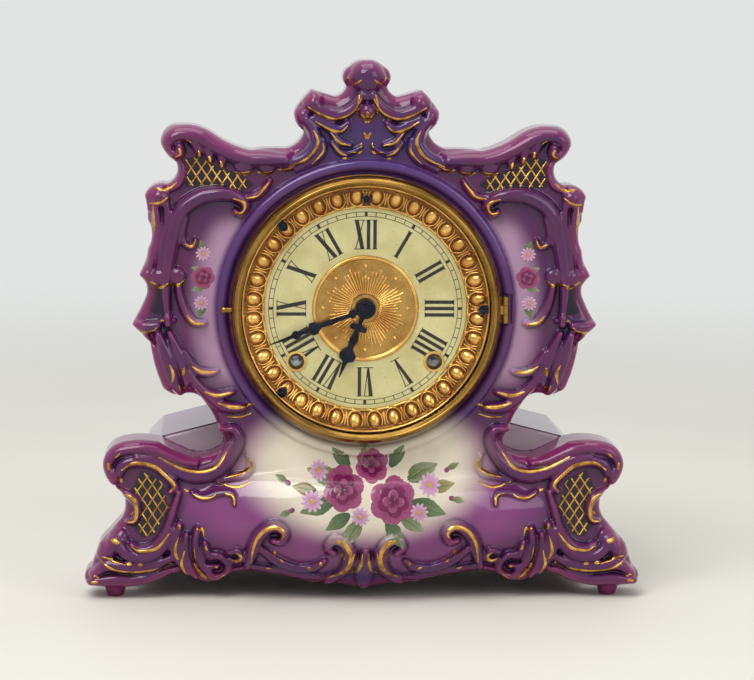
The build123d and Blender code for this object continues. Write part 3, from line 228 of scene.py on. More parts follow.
# Mesh helpers
def make(name, verts, faces, mat, body, colours=None, smooth=True):
    """A mesh object from points in millimetres, riding on a body."""
    mesh = bpy.data.meshes.new(name)
    mesh.from_pydata((np.asarray(verts, float) * MM).tolist(), [], [list(map(int, f)) for f in faces])
    mesh.validate()
    if smooth:
        mesh.shade_smooth()
    if colours is not None:
        layer = mesh.color_attributes.new("Col", "FLOAT_COLOR", "POINT")
        rgba = np.ones((len(mesh.vertices), 4), np.float32)
        rgba[:, :3] = colours
        layer.data.foreach_set("color", rgba.ravel())
    mesh.materials.append(mat)
    obj = bpy.data.objects.new(name, mesh)
    bpy.context.scene.collection.objects.link(obj)
    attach(obj, body)
    return obj


def smooth_line(points, per=8):
    """A Catmull-Rom curve through rows of numbers."""
    p = np.asarray(points, float)
    if len(p) < 3:
        t = np.linspace(0, 1, per + 1)[:, None]
        return p[0] * (1 - t) + p[-1] * t
    p = np.vstack([2 * p[0] - p[1], p, 2 * p[-1] - p[-2]])
    out = []
    for i in range(1, len(p) - 2):
        t = np.linspace(0, 1, per, endpoint=False)[:, None]
        a, b, c, d = p[i - 1], p[i], p[i + 1], p[i + 2]
        square, cube = 2 * a - 5 * b + 4 * c - d, 3 * b - a - 3 * c + d
        out.append(0.5 * (2 * b + (c - a) * t + square * t ** 2 + cube * t ** 3))
    return np.vstack(out + [p[-2][None]])


def ease(a, b, v):
    t = np.clip((v - a) / (b - a), 0, 1)
    return t * t * (3 - 2 * t)


# The shape of the front
xs = np.arange(-154, 154 + STEP / 2, STEP)
zs = np.arange(1, 297 + STEP / 2, STEP)
GX, GZ = np.meshgrid(xs, zs, indexing="ij")


def outline_distance(depth):
    """Distance in from the outer edge of the china front, from its section at one depth."""
    mesh = NODES["china_front"].data
    mesh.calc_loop_triangles()
    v = np.empty(len(mesh.vertices) * 3)
    mesh.vertices.foreach_get("co", v)
    v = v.reshape(-1, 3) * 1000
    t = np.empty(len(mesh.loop_triangles) * 3, int)
    mesh.loop_triangles.foreach_get("vertices", t)
    t = t.reshape(-1, 3)
    side = v[t][:, :, 1] > depth
    count = side.sum(1)
    keep = (count == 1) | (count == 2)
    t, side, count = t[keep], side[keep], count[keep]
    odd = np.where(count == 1, side.argmax(1), side.argmin(1))
    rows = np.arange(len(t))
    ends = []
    for k in (1, 2):
        p, q = v[t[rows, odd]], v[t[rows, (odd + k) % 3]]
        f = ((depth - p[:, 1]) / (q[:, 1] - p[:, 1]))[:, None]
        ends.append((p + (q - p) * f)[:, (0, 2)])
    a, b = ends
    dial_hole = np.hypot(a[:, 0], a[:, 1] - DIAL_Z) < 72
    belly_hollow = (np.abs(a[:, 0]) < 100) & (a[:, 1] > 16) & (a[:, 1] < 75)
    outer = ~(dial_hole | belly_hollow)
    a, b = a[outer], b[outer]
    cx, cz = np.arange(0, 155.0), np.arange(1, 298.0)
    px, pz = np.meshgrid(cx, cz, indexing="ij")
    near = np.full(px.shape, 1e9)
    parity = np.zeros(px.shape, int)
    for (ax, az), (bx, bz) in zip(a, b):
        if max(ax, bx) < -3:
            continue
        dx, dz = bx - ax, bz - az
        s = np.clip(((px - ax) * dx + (pz - az) * dz) / (dx * dx + dz * dz + 1e-12), 0, 1)
        near = np.minimum(near, (px - ax - s * dx) ** 2 + (pz - az - s * dz) ** 2)
        lo, hi = min(az, bz), max(az, bz)
        r = np.where((cz + 1e-4 >= lo) & (cz + 1e-4 < hi))[0]
        if len(r):
            cross = ax + (cz[r] + 1e-4 - az) / (bz - az) * dx
            parity[:, r] += cx[:, None] < cross[None]
    signed = np.sqrt(near) * np.where(parity % 2 == 1, 1, -1)
    fx = np.clip(np.abs(GX), 0, 153.99)
    fz = np.clip(GZ - 1, 0, 295.99)
    i, j = fx.astype(int), fz.astype(int)
    u, w = fx - i, fz - j
    return (signed[i, j] * (1 - u) * (1 - w) + signed[i + 1, j] * u * (1 - w)
            + signed[i, j + 1] * (1 - u) * w + signed[i + 1, j + 1] * u * w)


EDGE = outline_distance(-42.7)
RADIUS = np.hypot(GX, GZ - DIAL_Z)

# Relief of the right half, mirrored: height, then rows of x, z and half width of a ridge
RIDGES = [
    (5.0, [(139, 27, 3), (136, 33, 3.4), (131, 27, 3), (124, 23.5, 3), (115, 25, 3), (108, 32, 2.8),
           (105, 39, 2)]),
    (4.0, [(148, 14, 2), (140, 19, 3), (130, 18, 3), (118, 18, 3), (106, 23, 2)]),
    (3.6, [(150, 9, 2), (138, 10.5, 3), (125, 10, 3), (112, 12.5, 3), (103, 16, 2)]),
    (4.5, [(127, 31, 1.5), (122, 28, 2.4), (114, 30, 2.6), (108, 38, 2.4), (104, 50, 2), (101, 60, 1.5)]),
    (3.4, [(134, 60, 2), (126, 56, 2.4), (123.5, 50, 2), (125, 44, 1.8), (129, 43, 1.4)]),
    (4.5, [(134, 70, 2.6), (131, 75, 3), (124, 77, 3), (114, 75, 3), (107, 69, 2.6), (103, 63, 2),
           (106, 60, 1.4)]),
    (5.5, [(138, 66, 3.5), (142, 75, 4.5), (136, 83, 4.5), (124, 85.5, 4.5), (112, 83.5, 4),
           (100, 78, 3), (92, 76, 2)]),
    (5.0, [(124, 79, 2), (112, 77, 3), (100, 71, 3.6), (90, 69, 3.8), (80, 72, 3.8), (73, 80, 3.6),
           (69, 88, 3),
           (71, 94, 2.4), (79, 94, 1.8)]),
    (2.4, [(94, 60, 1.4), (88, 57.5, 1.8), (80, 60, 2), (72, 60, 1.6), (71, 54, 1.2)]),
    (2.4, [(80, 66, 1.6), (72, 68, 2), (64, 70, 1.8), (62, 76, 1.6), (64, 80, 1.2)]),
    (4.5, [(101, 42, 2), (103, 34, 3), (103, 26, 3), (100, 20, 2), (97, 14, 1.4)]),
    (4.5, [(97, 37, 1.6), (98, 28, 2.8), (96, 19, 2.6), (92, 12, 1.6)]),
    (4.2, [(91, 41, 1.4), (92, 31, 2.6), (89, 21, 2.6), (83, 14, 1.6)]),
    (4.4, [(87, 33, 1.4), (85, 25, 2.6), (79, 24.5, 2.2), (74, 19, 2.2), (76, 13, 2.2),
           (83, 12.5, 2), (85, 18, 1.8),
           (80, 19, 1.6)]),
    (3.2, [(74, 27, 1.4), (69, 28, 2), (67, 24, 1.8), (70, 21.5, 1.6), (73, 23.5, 1.2)]),
    (4.0, [(0, 30, 2), (0, 22, 4), (0, 13, 4.5), (0, 8, 3)]),
    (3.6, [(6, 30, 1.4), (8, 22, 2.8), (13, 15, 2.6), (20, 12, 2)]),
    (5.0, [(20, 9, 2), (12, 16, 3), (8.5, 26, 3), (11, 34, 2.8), (17, 36.5, 2.4), (20.5, 32, 2),
           (17, 29, 1.6)]),
    (3.8, [(22, 24, 1.6), (28, 19, 2.6), (38, 18, 3), (48, 23, 2.6), (56, 30, 2)]),
    (5.0, [(64, 18, 2), (61, 29, 3), (57.5, 38, 3), (50, 43.5, 2.8), (44, 40.5, 2.4), (45.5, 35, 2),
           (50, 35.5, 1.6)]),
    (3.2, [(24, 12, 1.5), (36, 13.5, 2.4), (50, 16, 2.6), (62, 18, 2), (74, 14, 1.6)]),
    (3.0, [(117, 182, 2), (115, 195, 2.6), (113, 207, 2.4), (115, 219, 1.6)]),
    (3.0, [(111.5, 182, 2), (109, 195, 2.6), (107, 207, 2.4), (108, 219, 1.6)]),
    (3.0, [(106, 182, 2), (103.5, 194, 2.4), (101, 205, 2)]),
    (4.5, [(127, 151, 2.5), (120, 149.5, 3.2), (113, 151, 2.4)]),
    (3.6, [(102, 176, 1.6), (100, 166, 2), (97, 158, 2.2), (93, 153, 2), (87, 152, 1.4)]),
    (4.4, [(119, 144, 2), (116, 134, 3.6), (111, 121, 3), (107, 116, 1.6)]),
    (4.6, [(112, 146, 2), (108, 134, 3.8), (104, 121, 3.2), (100, 113, 1.6)]),
    (4.2, [(106, 147, 1.6), (102, 137, 3), (98.5, 127, 2.6), (97, 119, 1.6)]),
    (3.2, [(98, 137, 1.4), (92, 127.5, 2.2), (86, 125, 2), (80, 126, 1.2)]),
    (3.6, [(97, 127, 1.6), (87, 114.5, 2.6), (80, 112.5, 2.4), (71, 115, 1.4)]),
    (3.8, [(94, 121, 1.8), (82, 109, 2.8), (71, 106, 2.6), (59, 108, 1.4)]),
    (4.8, [(107, 152, 2), (108, 170, 2.4), (106, 190, 3), (101, 211, 3.6), (91, 220, 3.8), (80, 222.5, 3.4),
           (70, 221, 2.8), (65, 216, 2.2), (67, 211.5, 1.8), (71, 213, 1.4)]),
    (2.8, [(97, 210, 1.4), (99.5, 200, 2), (97.5, 195, 1.8), (93.5, 194, 1.6), (92, 198, 1.2)]),
    (6.0, [(44, 241, 3), (56, 241.5, 4), (68, 243, 4.5), (80, 248.5, 4.6), (92, 254.5, 4.4), (102, 254.5, 4),
           (108, 249, 3.6), (106, 243.5, 3), (101, 244, 2.6), (101, 248, 2.2)]),
    (3.4, [(95, 252, 2), (91, 247, 2.2), (90, 243, 1.3)]),
    (3.4, [(88, 250, 2), (85, 244, 2.2), (84, 240, 1.3)]),
    (3.4, [(81, 247, 2), (78, 241, 2.2), (78, 237, 1.3)]),
    (3.0, [(68, 221, 1.8), (60, 221, 2.2), (55, 225, 2), (52, 230, 1.3)]),
    (3.6, [(118, 214, 2), (119, 221, 3), (111, 225, 3), (102, 228, 2.6), (100, 236, 2.4), (104, 242, 2)]),
    (4.0, [(31, 271, 3), (24, 267, 3), (16, 265, 3), (8, 269, 2.6), (3, 276, 1.8)]),
    (3.2, [(29, 263, 2), (22, 259.5, 2.6), (15, 257.5, 2.4), (10.5, 261, 1.5)]),
    (2.6, [(20, 257, 1.5), (15, 251, 2), (9, 249, 1.3)]),
    (2.4, [(19, 250, 1.4), (14, 244.5, 1.8), (8, 245, 1.5), (3, 248, 1)]),
    (4.2, [(33, 262, 2.4), (29, 256, 3), (28, 249, 3), (34, 242, 3), (44, 239, 2.4)]),
    (3.0, [(24, 252, 1.5), (24, 246, 2.2), (29, 239.5, 2), (38, 235, 1.4)]),
]
# Round lobes: height, radius, x, z
LOBES = [
    (3.6, 6.5, 141, 27), (3.0, 6, 134, 34), (4.0, 6, 121, 178), (4.0, 5.6, 111.5, 177), (3.6, 5.2, 102, 178),
    (2.4, 2.2, 110, 154), (2.4, 2.2, 113, 150), (2.2, 2, 107, 152), (2.2, 1.8, 103.5, 154),
    (4.5, 6.5, 112, 221),
    (4.0, 6.5, 66, 239), (4.0, 6.2, 54, 239), (3.6, 5.6, 43, 240), (4.6, 6, 29.5, 272), (3.6, 5.5, 36, 264),
    (3.4, 3.6, 7, 285), (6.0, 9.5, 0, 286), (4.2, 5, 0, 267), (3.0, 3.2, 0, 275), (3.6, 4.5, 97, 255),
    (2.2, 2.4, 128, 20.5), (2.2, 2.2, 122, 20), (2.6, 2.6, 84, 18), (2.2, 2.2, 24, 22), (2.0, 2, 30, 19.5),
]


def relief_field():
    h, groove = np.zeros_like(GX), np.zeros_like(GX)
    for height, rows in RIDGES:
        line = smooth_line(rows, 6)
        w = 1.8 * line[:, 2].max() + 1.5
        for side in (1, -1):
            i0 = max(0, int((min(side * line[:, 0]) - w - xs[0]) / STEP))
            i1 = int((max(side * line[:, 0]) + w - xs[0]) / STEP) + 2
            j0 = max(0, int((line[:, 1].min() - w - zs[0]) / STEP))
            j1 = int((line[:, 1].max() + w - zs[0]) / STEP) + 2
            x, z = GX[i0:i1, j0:j1], GZ[i0:i1, j0:j1]
            best = np.full(x.shape, 9.0)
            for (ax, az, ar), (bx, bz, br) in zip(line[:-1], line[1:]):
                ax, bx = side * ax, side * bx
                dx, dz = bx - ax, bz - az
                s = np.clip(((x - ax) * dx + (z - az) * dz) / (dx * dx + dz * dz + 1e-9), 0, 1)
                best = np.minimum(best, np.hypot(x - ax - s * dx, z - az - s * dz) / (ar + (br - ar) * s) / 1.25)
            part = 1.15 * height * np.sqrt(np.clip(1 - best ** 2, 0, 1))
            h[i0:i1, j0:j1] = np.maximum(h[i0:i1, j0:j1], part)
            cut = np.exp(-((best - 1.16) / 0.2) ** 2)
            groove[i0:i1, j0:j1] = np.maximum(groove[i0:i1, j0:j1], cut)
    for height, r, x, z in LOBES:
        for side in (1, -1):
            d = np.hypot(GX - side * x, GZ - z) / r
            h = np.maximum(h, 1.15 * height * np.sqrt(np.clip(1 - d ** 2, 0, 1)))
            groove = np.maximum(groove, np.exp(-((d - 1.12) / 0.16) ** 2))
    return h - 1.5 * groove * np.clip(1 - h / 1.5, 0, 1)


def blur(a, times):
    for _ in range(times):
        a = (a + np.roll(a, 1, 0) + np.roll(a, -1, 0)) / 3
        a = (a + np.roll(a, 1, 1) + np.roll(a, -1, 1)) / 3
    return a


def inside(points):
    """Weight 1 inside a polygon of the right half, mirrored."""
    p = np.asarray(points, float)
    x = np.abs(GX)
    hit = np.zeros(GX.shape, int)
    for (ax, az), (bx, bz) in zip(p, np.roll(p, -1, 0)):
        if az != bz:
            hit += ((az > GZ) != (bz > GZ)) & (x < (bx - ax) * (GZ - az) / (bz - az) + ax)
    return blur((hit % 2).astype(float), 2)


NET_LOW = [(122, 72), (127, 60), (128, 42), (121, 34), (114, 36), (106, 50), (110, 66)]
NET_HIGH = [(99, 241), (90, 243), (80, 237), (66, 232), (60, 227), (68, 223), (84, 226), (98, 226)]
nets = np.maximum(inside(NET_LOW), inside(NET_HIGH))
recess = inside([(118, 173), (118, 158), (112, 156), (104, 158), (103, 173)])

RAW = relief_field()
keep_off = ease(80.5, 86, RADIUS)
RELIEF = blur(RAW * keep_off, 1) - 1.6 * nets * (RAW < 1.2) - 1.6 * recess
ring = RING_ROLL * np.sqrt(np.clip(1 - ((RADIUS - RING_R) / RING_ROLL) ** 2, 0, 1)) * (RADIUS > 74)
RELIEF = np.maximum(RELIEF, ring)
swell_r = BELLY_R + np.sqrt(np.clip(BELLY_ROLL ** 2 - (GZ - BELLY_MID_Z) ** 2, 0, None))
belly = BELLY_AXIS_Y - np.sqrt(np.clip(swell_r ** 2 - GX ** 2, 0, None))
belly = np.where(np.abs(GZ - BELLY_MID_Z) < BELLY_ROLL, belly, 0)
swell = blur(np.clip(FACE_Y - belly, 0, None) * ease(80, 86, RADIUS) * 0.82, 6)
puff = 2.2 * ease(4, 26, EDGE) * ease(84, 100, RADIUS)


def rounded(distance, r):
    """How far a face falls back near an edge that is rounded to a radius."""
    return r * (1 - np.sqrt(np.clip(1 - (1 - np.clip(distance / r, 0, 1)) ** 2, 0, 1)))


rounding = rounded(EDGE, EDGE_ROUND)
SURFACE = np.maximum(FACE_Y + 1 - swell - puff - RELIEF + rounding, FRONT_LIMIT_Y)


def surf(x, z, table=None):
    """Depth of the front at a place, or another table's value there."""
    table = SURFACE if table is None else table
    fx = np.clip((np.asarray(x, float) - xs[0]) / STEP, 0, len(xs) - 1.01)
    fz = np.clip((np.asarray(z, float) - zs[0]) / STEP, 0, len(zs) - 1.01)
    i, j = fx.astype(int), fz.astype(int)
    u, w = fx - i, fz - j
    return (table[i, j] * (1 - u) * (1 - w) + table[i + 1, j] * u * (1 - w)
            + table[i, j + 1] * (1 - u) * w + table[i + 1, j + 1] * u * w)


def case_front():
    """The front's points and faces, from a field that is negative inside the china."""
    cell = CELL
    vx, vy, vz = (np.arange(a, b, cell, dtype=np.float32) for a, b in ((-153.3, 153.6), (-69, -15.4), (-1.5, 296.4)))
    X, Z = np.meshgrid(vx, vz, indexing="ij")
    front, edge, rad = surf(X, Z), surf(X, Z, EDGE), np.hypot(X, Z - DIAL_Z)
    plain = surf(X, Z, np.maximum(FACE_Y + 1 - swell, FRONT_LIMIT_Y))
    slope = np.sqrt(1 + np.minimum(np.gradient(front, cell, axis=0) ** 2 + np.gradient(front, cell, axis=1) ** 2, 6))
    back = SLAB_BACK_Y - rounded(edge, 3)
    notch = np.maximum(np.abs(X - 74.75) - 4.75, np.abs(Z - DIAL_Z) - 8.5)
    under = np.maximum(np.abs(X) - 109, Z - 69)
    # Web of china behind the waist, which closes the front of the rear base
    base_top = 95.4 - (np.abs(X) - 72) * 10 / 39
    web = np.maximum.reduce([np.abs(X) - 109, 64 - np.abs(X), 64 - Z, Z - base_top, DRUM_HOLLOW_R - rad])
    field = np.empty((len(vx), len(vy), len(vz)), np.float32)
    for k, y in enumerate(vy):
        f = np.maximum(np.maximum((front - y) / slope, y - back), -edge)
        f = np.maximum(f, -np.maximum(under, plain + 7 - y))
        f = np.maximum(f, -np.maximum(rad - DRUM_HOLLOW_R, -40 - y))
        f = np.maximum(f, DIAL_HOLE_R - rad)
        f = np.maximum(f, -np.maximum(rad - RECESS_R, y - FACE_Y))
        f = np.maximum(f, -np.maximum(notch, y - FACE_Y))
        f = np.minimum(f, np.maximum(web, max(-22 - y, y - SLAB_BACK_Y)))
        foot = np.hypot(np.abs(X) - FOOT_AT[0], y - FOOT_AT[1]) - (4.5 + 0.28 * np.clip(Z, 0, 12))
        field[:, k, :] = np.minimum(f, np.maximum.reduce([foot, 0.05 - Z, Z - 13]))
    grid = openvdb.FloatGrid(background=3.0)
    grid.copyFromArray(np.clip(field, -3, 3))
    points, quads = grid.convertToQuads(isovalue=0.0)
    return points * cell + np.array([vx[0], vy[0], vz[0]]), quads[:, ::-1]


def glaze(p):
    """Colour of the glaze at points of the front."""
    x, y, z = p[:, 0], p[:, 1], p[:, 2]
    def shade(r, g, b):
        return np.array(linear(r, g, b)[:3])
    h = surf(x, z, RELIEF)
    fall = h - surf(x, z, blur(np.clip(RELIEF, 0, 9), 14))
    edge, rad, ax = surf(x, z, EDGE), np.hypot(x, z - DIAL_Z), np.abs(x)
    col = np.tile(shade(96, 32, 82), (len(p), 1))
    def lay(colour, w):
        nonlocal col
        w = np.clip(w, 0, 1)[:, None]
        col = col * (1 - w) + shade(*colour) * w
    wave = 0.5 + 0.5 * np.sin(x * 0.11 + 2 * np.sin(z * 0.05)) * np.sin(z * 0.09 + 1)
    lay((62, 30, 84), 0.6 * wave)
    lay((54, 38, 100), 0.75 * ease(232, 246, z) * (1 - ease(40, 60, ax)) * (1 - ease(256, 268, z)))
    lay((66, 46, 112), 0.6 * (1 - ease(6, 30, z)) * (1 - ease(58, 80, ax)))
    lay((136, 66, 126), 0.85 * (1 - ease(0.75, 1.15, np.hypot(x / 104, (z - 58) / 44))) * (1 - ease(0.3, 1.6, h)))
    pale = 1 - ease(0.62, 1.0, np.hypot(x / 76, (z - 74) / 45))
    lay((222, 212, 192), pale)
    flank = ease(80, 84, rad) * (1 - ease(86, 100, rad)) * (1 - ease(92, 104, ax))
    flank = flank * ease(112, 128, z) * (1 - ease(200, 216, z))
    lay((186, 150, 180), 0.8 * flank)
    lay((84, 62, 134), 0.6 * (1 - ease(79, 84, rad)) * (0.5 + 0.5 * ease(140, 235, z)) * (1 - 0.7 * pale))
    lay((148, 54, 106), 0.7 * ease(1.0, 4.6, h) * ease(0.4, 2.2, fall) * (rad > 82))
    # Hollows of the relief go near black violet: glaze pooling and painted shade
    lay((26, 14, 54), 0.92 * ease(0.15, 1.6, -fall) * (rad > 82) * (1 - 0.7 * pale))
    # Lattice panels and the side recess go near black; in the recess this is painted shade
    lay((20, 12, 34), 0.96 * ease(0.3, 0.8, surf(x, z, np.maximum(nets, recess * 0.85))) * (1 - ease(0.4, 1.4, h)))
    # Lighter magenta along the rounded rim: glaze thinning there and a painted highlight
    lay((138, 44, 98), 0.7 * (1 - ease(1, 7, edge)))
    lay((132, 84, 124), 0.7 * ease(-34, -22, y))
    lay((190, 170, 182), (edge < -0.4) * (y > -24))
    return col


points, quads = case_front()
front = make("case_front", points, quads, CHINA, "case", glaze(points))
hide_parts("china_front")


# Gilding and painting on the glaze
class Sheet:
    """Thin patches that lie on the glaze, gathered into one mesh."""

    def __init__(self):
        self.v, self.f, self.c = [], [], []

    def add(self, x, z, lift, faces, colours=None):
        base = sum(len(a) for a in self.v)
        on_case = surf(x, z, EDGE) > 0.9
        faces = [face for face in faces if all(on_case[i] for i in face)]
        self.v.append(np.column_stack([x, surf(x, z) - lift, z]))
        self.f += [[base + i for i in face] for face in faces]
        self.c.append(np.tile((0.5, 0.4, 0.2), (len(x), 1)) if colours is None else colours)

    def strip(self, rows, side, lift=0.28):
        """A brushed line: rows of x, z and half width."""
        line = smooth_line(rows, 7)
        x, z, w = side * line[:, 0], line[:, 1], line[:, 2] * 1.15
        tx, tz = np.gradient(x), np.gradient(z)
        n = np.hypot(tx, tz) + 1e-9
        nx, nz = -tz / n, tx / n
        across = (-1.0, -0.5, 0.0, 0.5, 1.0)
        px = np.column_stack([x + nx * w * a for a in across]).ravel()
        pz = np.column_stack([z + nz * w * a for a in across]).ravel()
        up = np.tile([-0.1, lift * 0.8, lift, lift * 0.8, -0.1], len(x))
        m = len(across)
        faces = [(i * m + k, i * m + k + 1, (i + 1) * m + k + 1, (i + 1) * m + k)
                 for i in range(len(x) - 1) for k in range(m - 1)]
        self.add(px, pz, up, faces)

    def oval(self, x, z, length, width, angle, lift, inner=None, outer=None, rings=4, point=0.0, base_at=0.5):
        """A dab or petal. point sharpens its far end, and base_at is the fraction behind the given place."""
        sides = 18
        px, pz, up, col = [], [], [], []
        ca, sa = math.cos(math.radians(angle)), math.sin(math.radians(angle))
        for r in range(rings + 1):
            for k in range(sides):
                t = 2 * math.pi * k / sides
                u, v = math.cos(t), math.sin(t)
                v *= (1 - point * max(0, u)) * (1 - 0.35 * point * max(0, -u))
                lx = (u * r / rings * 0.5 + 0.5 - base_at) * length
                lz = v * r / rings * 0.5 * width
                px.append(x + lx * ca - lz * sa)
                pz.append(z + lx * sa + lz * ca)
                up.append(lift if r < rings else -0.05)
                if inner is not None:
                    m = min(1, max(0, lx / length + base_at))
                    streak = 0.86 + 0.14 * math.sin(9 * lz / max(width, 1) * math.pi)
                    col.append([(a * (1 - m) + b * m) * streak for a, b in zip(inner, outer)])
        faces = [(r * sides + k, r * sides + (k + 1) % sides, (r + 1) * sides + (k + 1) % sides, (r + 1) * sides + k)
                 for r in range(rings) for k in range(sides)]
        self.add(np.array(px), np.array(pz), np.array(up), faces, np.array(col) if col else None)


GOLD_LINES = [
    [(144, 22, 0.3), (135, 16.5, 0.9), (125, 15.5, 0.9), (113, 17, 0.8), (105, 20, 0.3)],
    [(143, 24, 0.3), (137, 22.5, 0.8), (130, 20, 0.3)], [(127, 30, 0.3), (122, 27.6, 0.8),
    (113, 29.5, 0.8), (106, 38, 0.3)],
    [(132, 59, 0.4), (126, 56, 0.9), (124, 50, 0.9), (125, 44, 0.8), (129, 43, 0.4)],
    [(132, 72, 0.4), (125, 76, 0.9), (115, 74.5, 1.0), (107, 68, 0.9), (103.5, 64, 0.8), (106, 61, 0.5)],
    [(94, 59, 0.4), (90, 57, 0.8), (84, 57, 0.8), (81, 59.5, 0.3)], [(76, 60, 0.4), (72, 58, 0.9),
    (71, 54, 0.5)],
    [(63, 79, 0.4), (62, 74, 0.8), (68, 70, 0.8), (75, 68, 0.4)], [(80, 65, 0.3), (70, 63, 0.7),
    (62, 66, 0.3)],
    [(112, 79.5, 0.3), (100, 73.5, 0.8), (90, 71.5, 0.9), (81, 74, 0.8), (75, 82, 0.3)],
    [(101, 36, 0.3), (103, 28, 0.8), (101.5, 23, 0.6)], [(98, 28, 0.3), (99.5, 20, 0.8), (97, 14, 0.4)],
    [(93, 30, 0.3), (92, 20, 0.9), (88, 12.5, 0.8), (82, 10, 0.7), (76, 13.5, 0.3)],
    [(92, 41, 0.3), (88.5, 40, 0.8), (87.5, 36, 0.3)], [(70, 27.5, 0.5), (67.3, 25, 0.8),
    (69, 22, 0.8), (72.6, 23.5, 0.5)],
    [(2, 29, 0.4), (2.4, 22, 0.9), (5, 16.5, 0.8), (10, 14.5, 0.3)], [(6, 29, 0.4), (8, 21, 0.8),
    (12, 15.5, 0.3)],
    [(20, 12, 0.3), (11, 18, 0.9), (8, 27, 1.0), (11, 34, 1.1), (16, 36.5, 0.8)],
    [(62, 22, 0.3), (60, 34, 0.8), (55, 41.5, 1.0), (48, 43.5, 1.1), (44.6, 40, 0.9), (47, 36.5, 0.5)],
    [(126, 175, 0.3), (121, 172.6, 1.0), (116, 174.5, 0.4)], [(116, 174.5, 0.4), (111, 171.8, 1.0),
    (106.5, 174, 0.3)],
    [(106.5, 174, 0.4), (101.5, 173, 0.9), (97.5, 176, 0.3)], [(124, 147.5, 0.4), (118, 147, 0.9),
    (113, 149, 0.3)],
    [(97, 157, 0.3), (93, 152.5, 0.9), (87.5, 152, 0.5)], [(106, 130, 0.3), (104, 125, 0.8), (105, 119, 0.3)],
    [(101, 119, 0.3), (99, 115.5, 0.9), (97.6, 118.5, 0.4)], [(94, 129, 0.3), (89, 126, 0.9), (81, 126, 0.4)],
    [(87, 115, 0.4), (80, 113, 0.9), (72, 114.8, 0.4)], [(80, 109, 0.4), (71, 106.6, 1.0), (60, 108, 0.4)],
    [(75, 101, 0.3), (69, 100.6, 0.6), (62, 102.5, 0.3)],
    [(117, 192, 0.3), (114.5, 204, 0.7), (115, 216, 0.3)], [(98, 195.5, 0.3), (94, 194.3, 0.8),
    (92, 197.5, 0.4)],
    [(72, 220, 0.3), (66, 217.5, 0.8), (66.4, 212.6, 0.9), (70.6, 212.6, 0.5)],
    [(65, 220, 0.3), (58.5, 221, 0.9), (55, 225.5, 0.8), (52.5, 229, 0.3)], [(117, 217, 0.3),
    (111, 217.5, 0.8), (106, 221, 0.3)],
    [(115, 226, 0.3), (108, 224.5, 0.7), (102, 228.5, 0.3)],
    [(71, 234, 0.3), (66, 233, 1.1), (61, 234.6, 0.4)], [(59, 234, 0.3), (54, 233.2, 1.1), (49, 235, 0.4)],
    [(48, 235.6, 0.3), (43, 235, 1.0), (38.5, 237.6, 0.3)],
    [(32, 269, 0.4), (25, 265, 0.9), (17, 262.6, 0.9), (8, 266, 0.8), (3, 274, 0.3)],
    [(28, 261.5, 0.3), (21.5, 257.6, 0.9), (14.5, 255.8, 0.8), (10.4, 259, 0.5)],
    [(20, 255.6, 0.3), (15, 250, 0.9), (9, 248.4, 0.4)], [(19, 250, 0.3), (14.6, 244.4, 0.7),
    (10.6, 243, 0.3)],
    [(9, 245, 0.3), (4.4, 244.6, 0.8), (2, 247.4, 0.4)], [(29, 257, 0.3), (26.4, 250, 0.9),
    (31.5, 242, 0.9), (42, 237, 0.3)],
    [(24, 250, 0.3), (23.6, 245, 0.7), (29.6, 238.4, 0.3)], [(4.6, 276, 0.4), (5, 267, 0.8), (0, 261.4, 1.0)],
    [(2, 255.5, 0.5), (0, 252.5, 0.9)], [(10.6, 285.5, 0.4), (7.6, 281.4, 0.8), (3.4, 284, 0.4)],
    [(109.6, 244.5, 0.4), (105, 241, 0.9), (100, 243.4, 0.8), (101, 247, 0.5)],
]
GOLD_DABS = [
    (147, 10, 4, 1.6, 0), (128, 20.5, 3, 1.8, 0), (122, 20, 3, 1.8, 0), (135.5, 33, 5, 2.6, 20),
    (132.5, 66, 4, 1.8, 70),
    (139, 74, 4, 1.8, 80), (134, 80, 4, 1.6, 140), (97, 60.5, 3, 1.6, 30), (100, 41, 3.4, 2, 60),
    (86, 30, 3, 1.8, 60),
    (12, 27, 5, 1.8, 80), (24, 22, 3.4, 1.8, 60), (30, 19, 3, 1.6, 20), (49, 28, 3, 1.6, 70),
    (45, 24, 3, 1.6, 60),
    (52, 18, 3, 1.6, 10), (90, 243.5, 4.5, 2, 80), (84.5, 240.5, 4.5, 2, 80),
    (78.5, 238, 4.5, 2, 75), (3, 248.6, 3, 1.8, 90),
    (12, 241.5, 2.6, 1.4, 0), (98.5, 126, 5, 2, 100), (69, 214, 2.6, 1.8, 0),
    (0, 264.5, 5, 2.4, 90), (118, 205, 4, 1.5, 90),
    (110, 153.6, 2, 1.5, 0), (113, 149.6, 2, 1.4, 0), (146, 13, 3, 1.4, 20), (80, 18, 3, 2, 30),
    (96, 250.5, 3.4, 1.7, 30),
]


def net_lines(corners, spacing):
    """Crossed gold lines over a latticed panel of the right half."""
    p = np.asarray(corners, float)
    middle = p.mean(0)
    for slant in (1, -1):
        dx, dz = math.cos(math.radians(56)), slant * math.sin(math.radians(56))
        for k in range(-9, 10):
            t = np.arange(-42, 42, 0.8)
            x = middle[0] - dz * k * spacing + dx * t
            z = middle[1] + dx * k * spacing + dz * t
            ok = (surf(x, z, nets) > 0.75) & (surf(x, z, RAW) < 1.3)
            run = []
            for xx, zz, o in list(zip(x, z, ok)) + [(0, 0, False)]:
                if o:
                    run.append((xx, zz, 0.42))
                elif len(run) > 3:
                    yield run[::3] + run[-1:]
                    run = []
                else:
                    run = []


gold = Sheet()
for side in (1, -1):
    for rows in GOLD_LINES:
        gold.strip(rows, side)
    for x, z, length, width, angle in GOLD_DABS:
        gold.oval(side * x, z, length, width, angle if side > 0 else 180 - angle, 0.3)
    for corners in (NET_LOW, NET_HIGH):
        for rows in net_lines(corners, 4.6):
            gold.strip(rows, side, 0.22)
make("gilding", np.vstack(gold.v), gold.f, GOLD, "case")

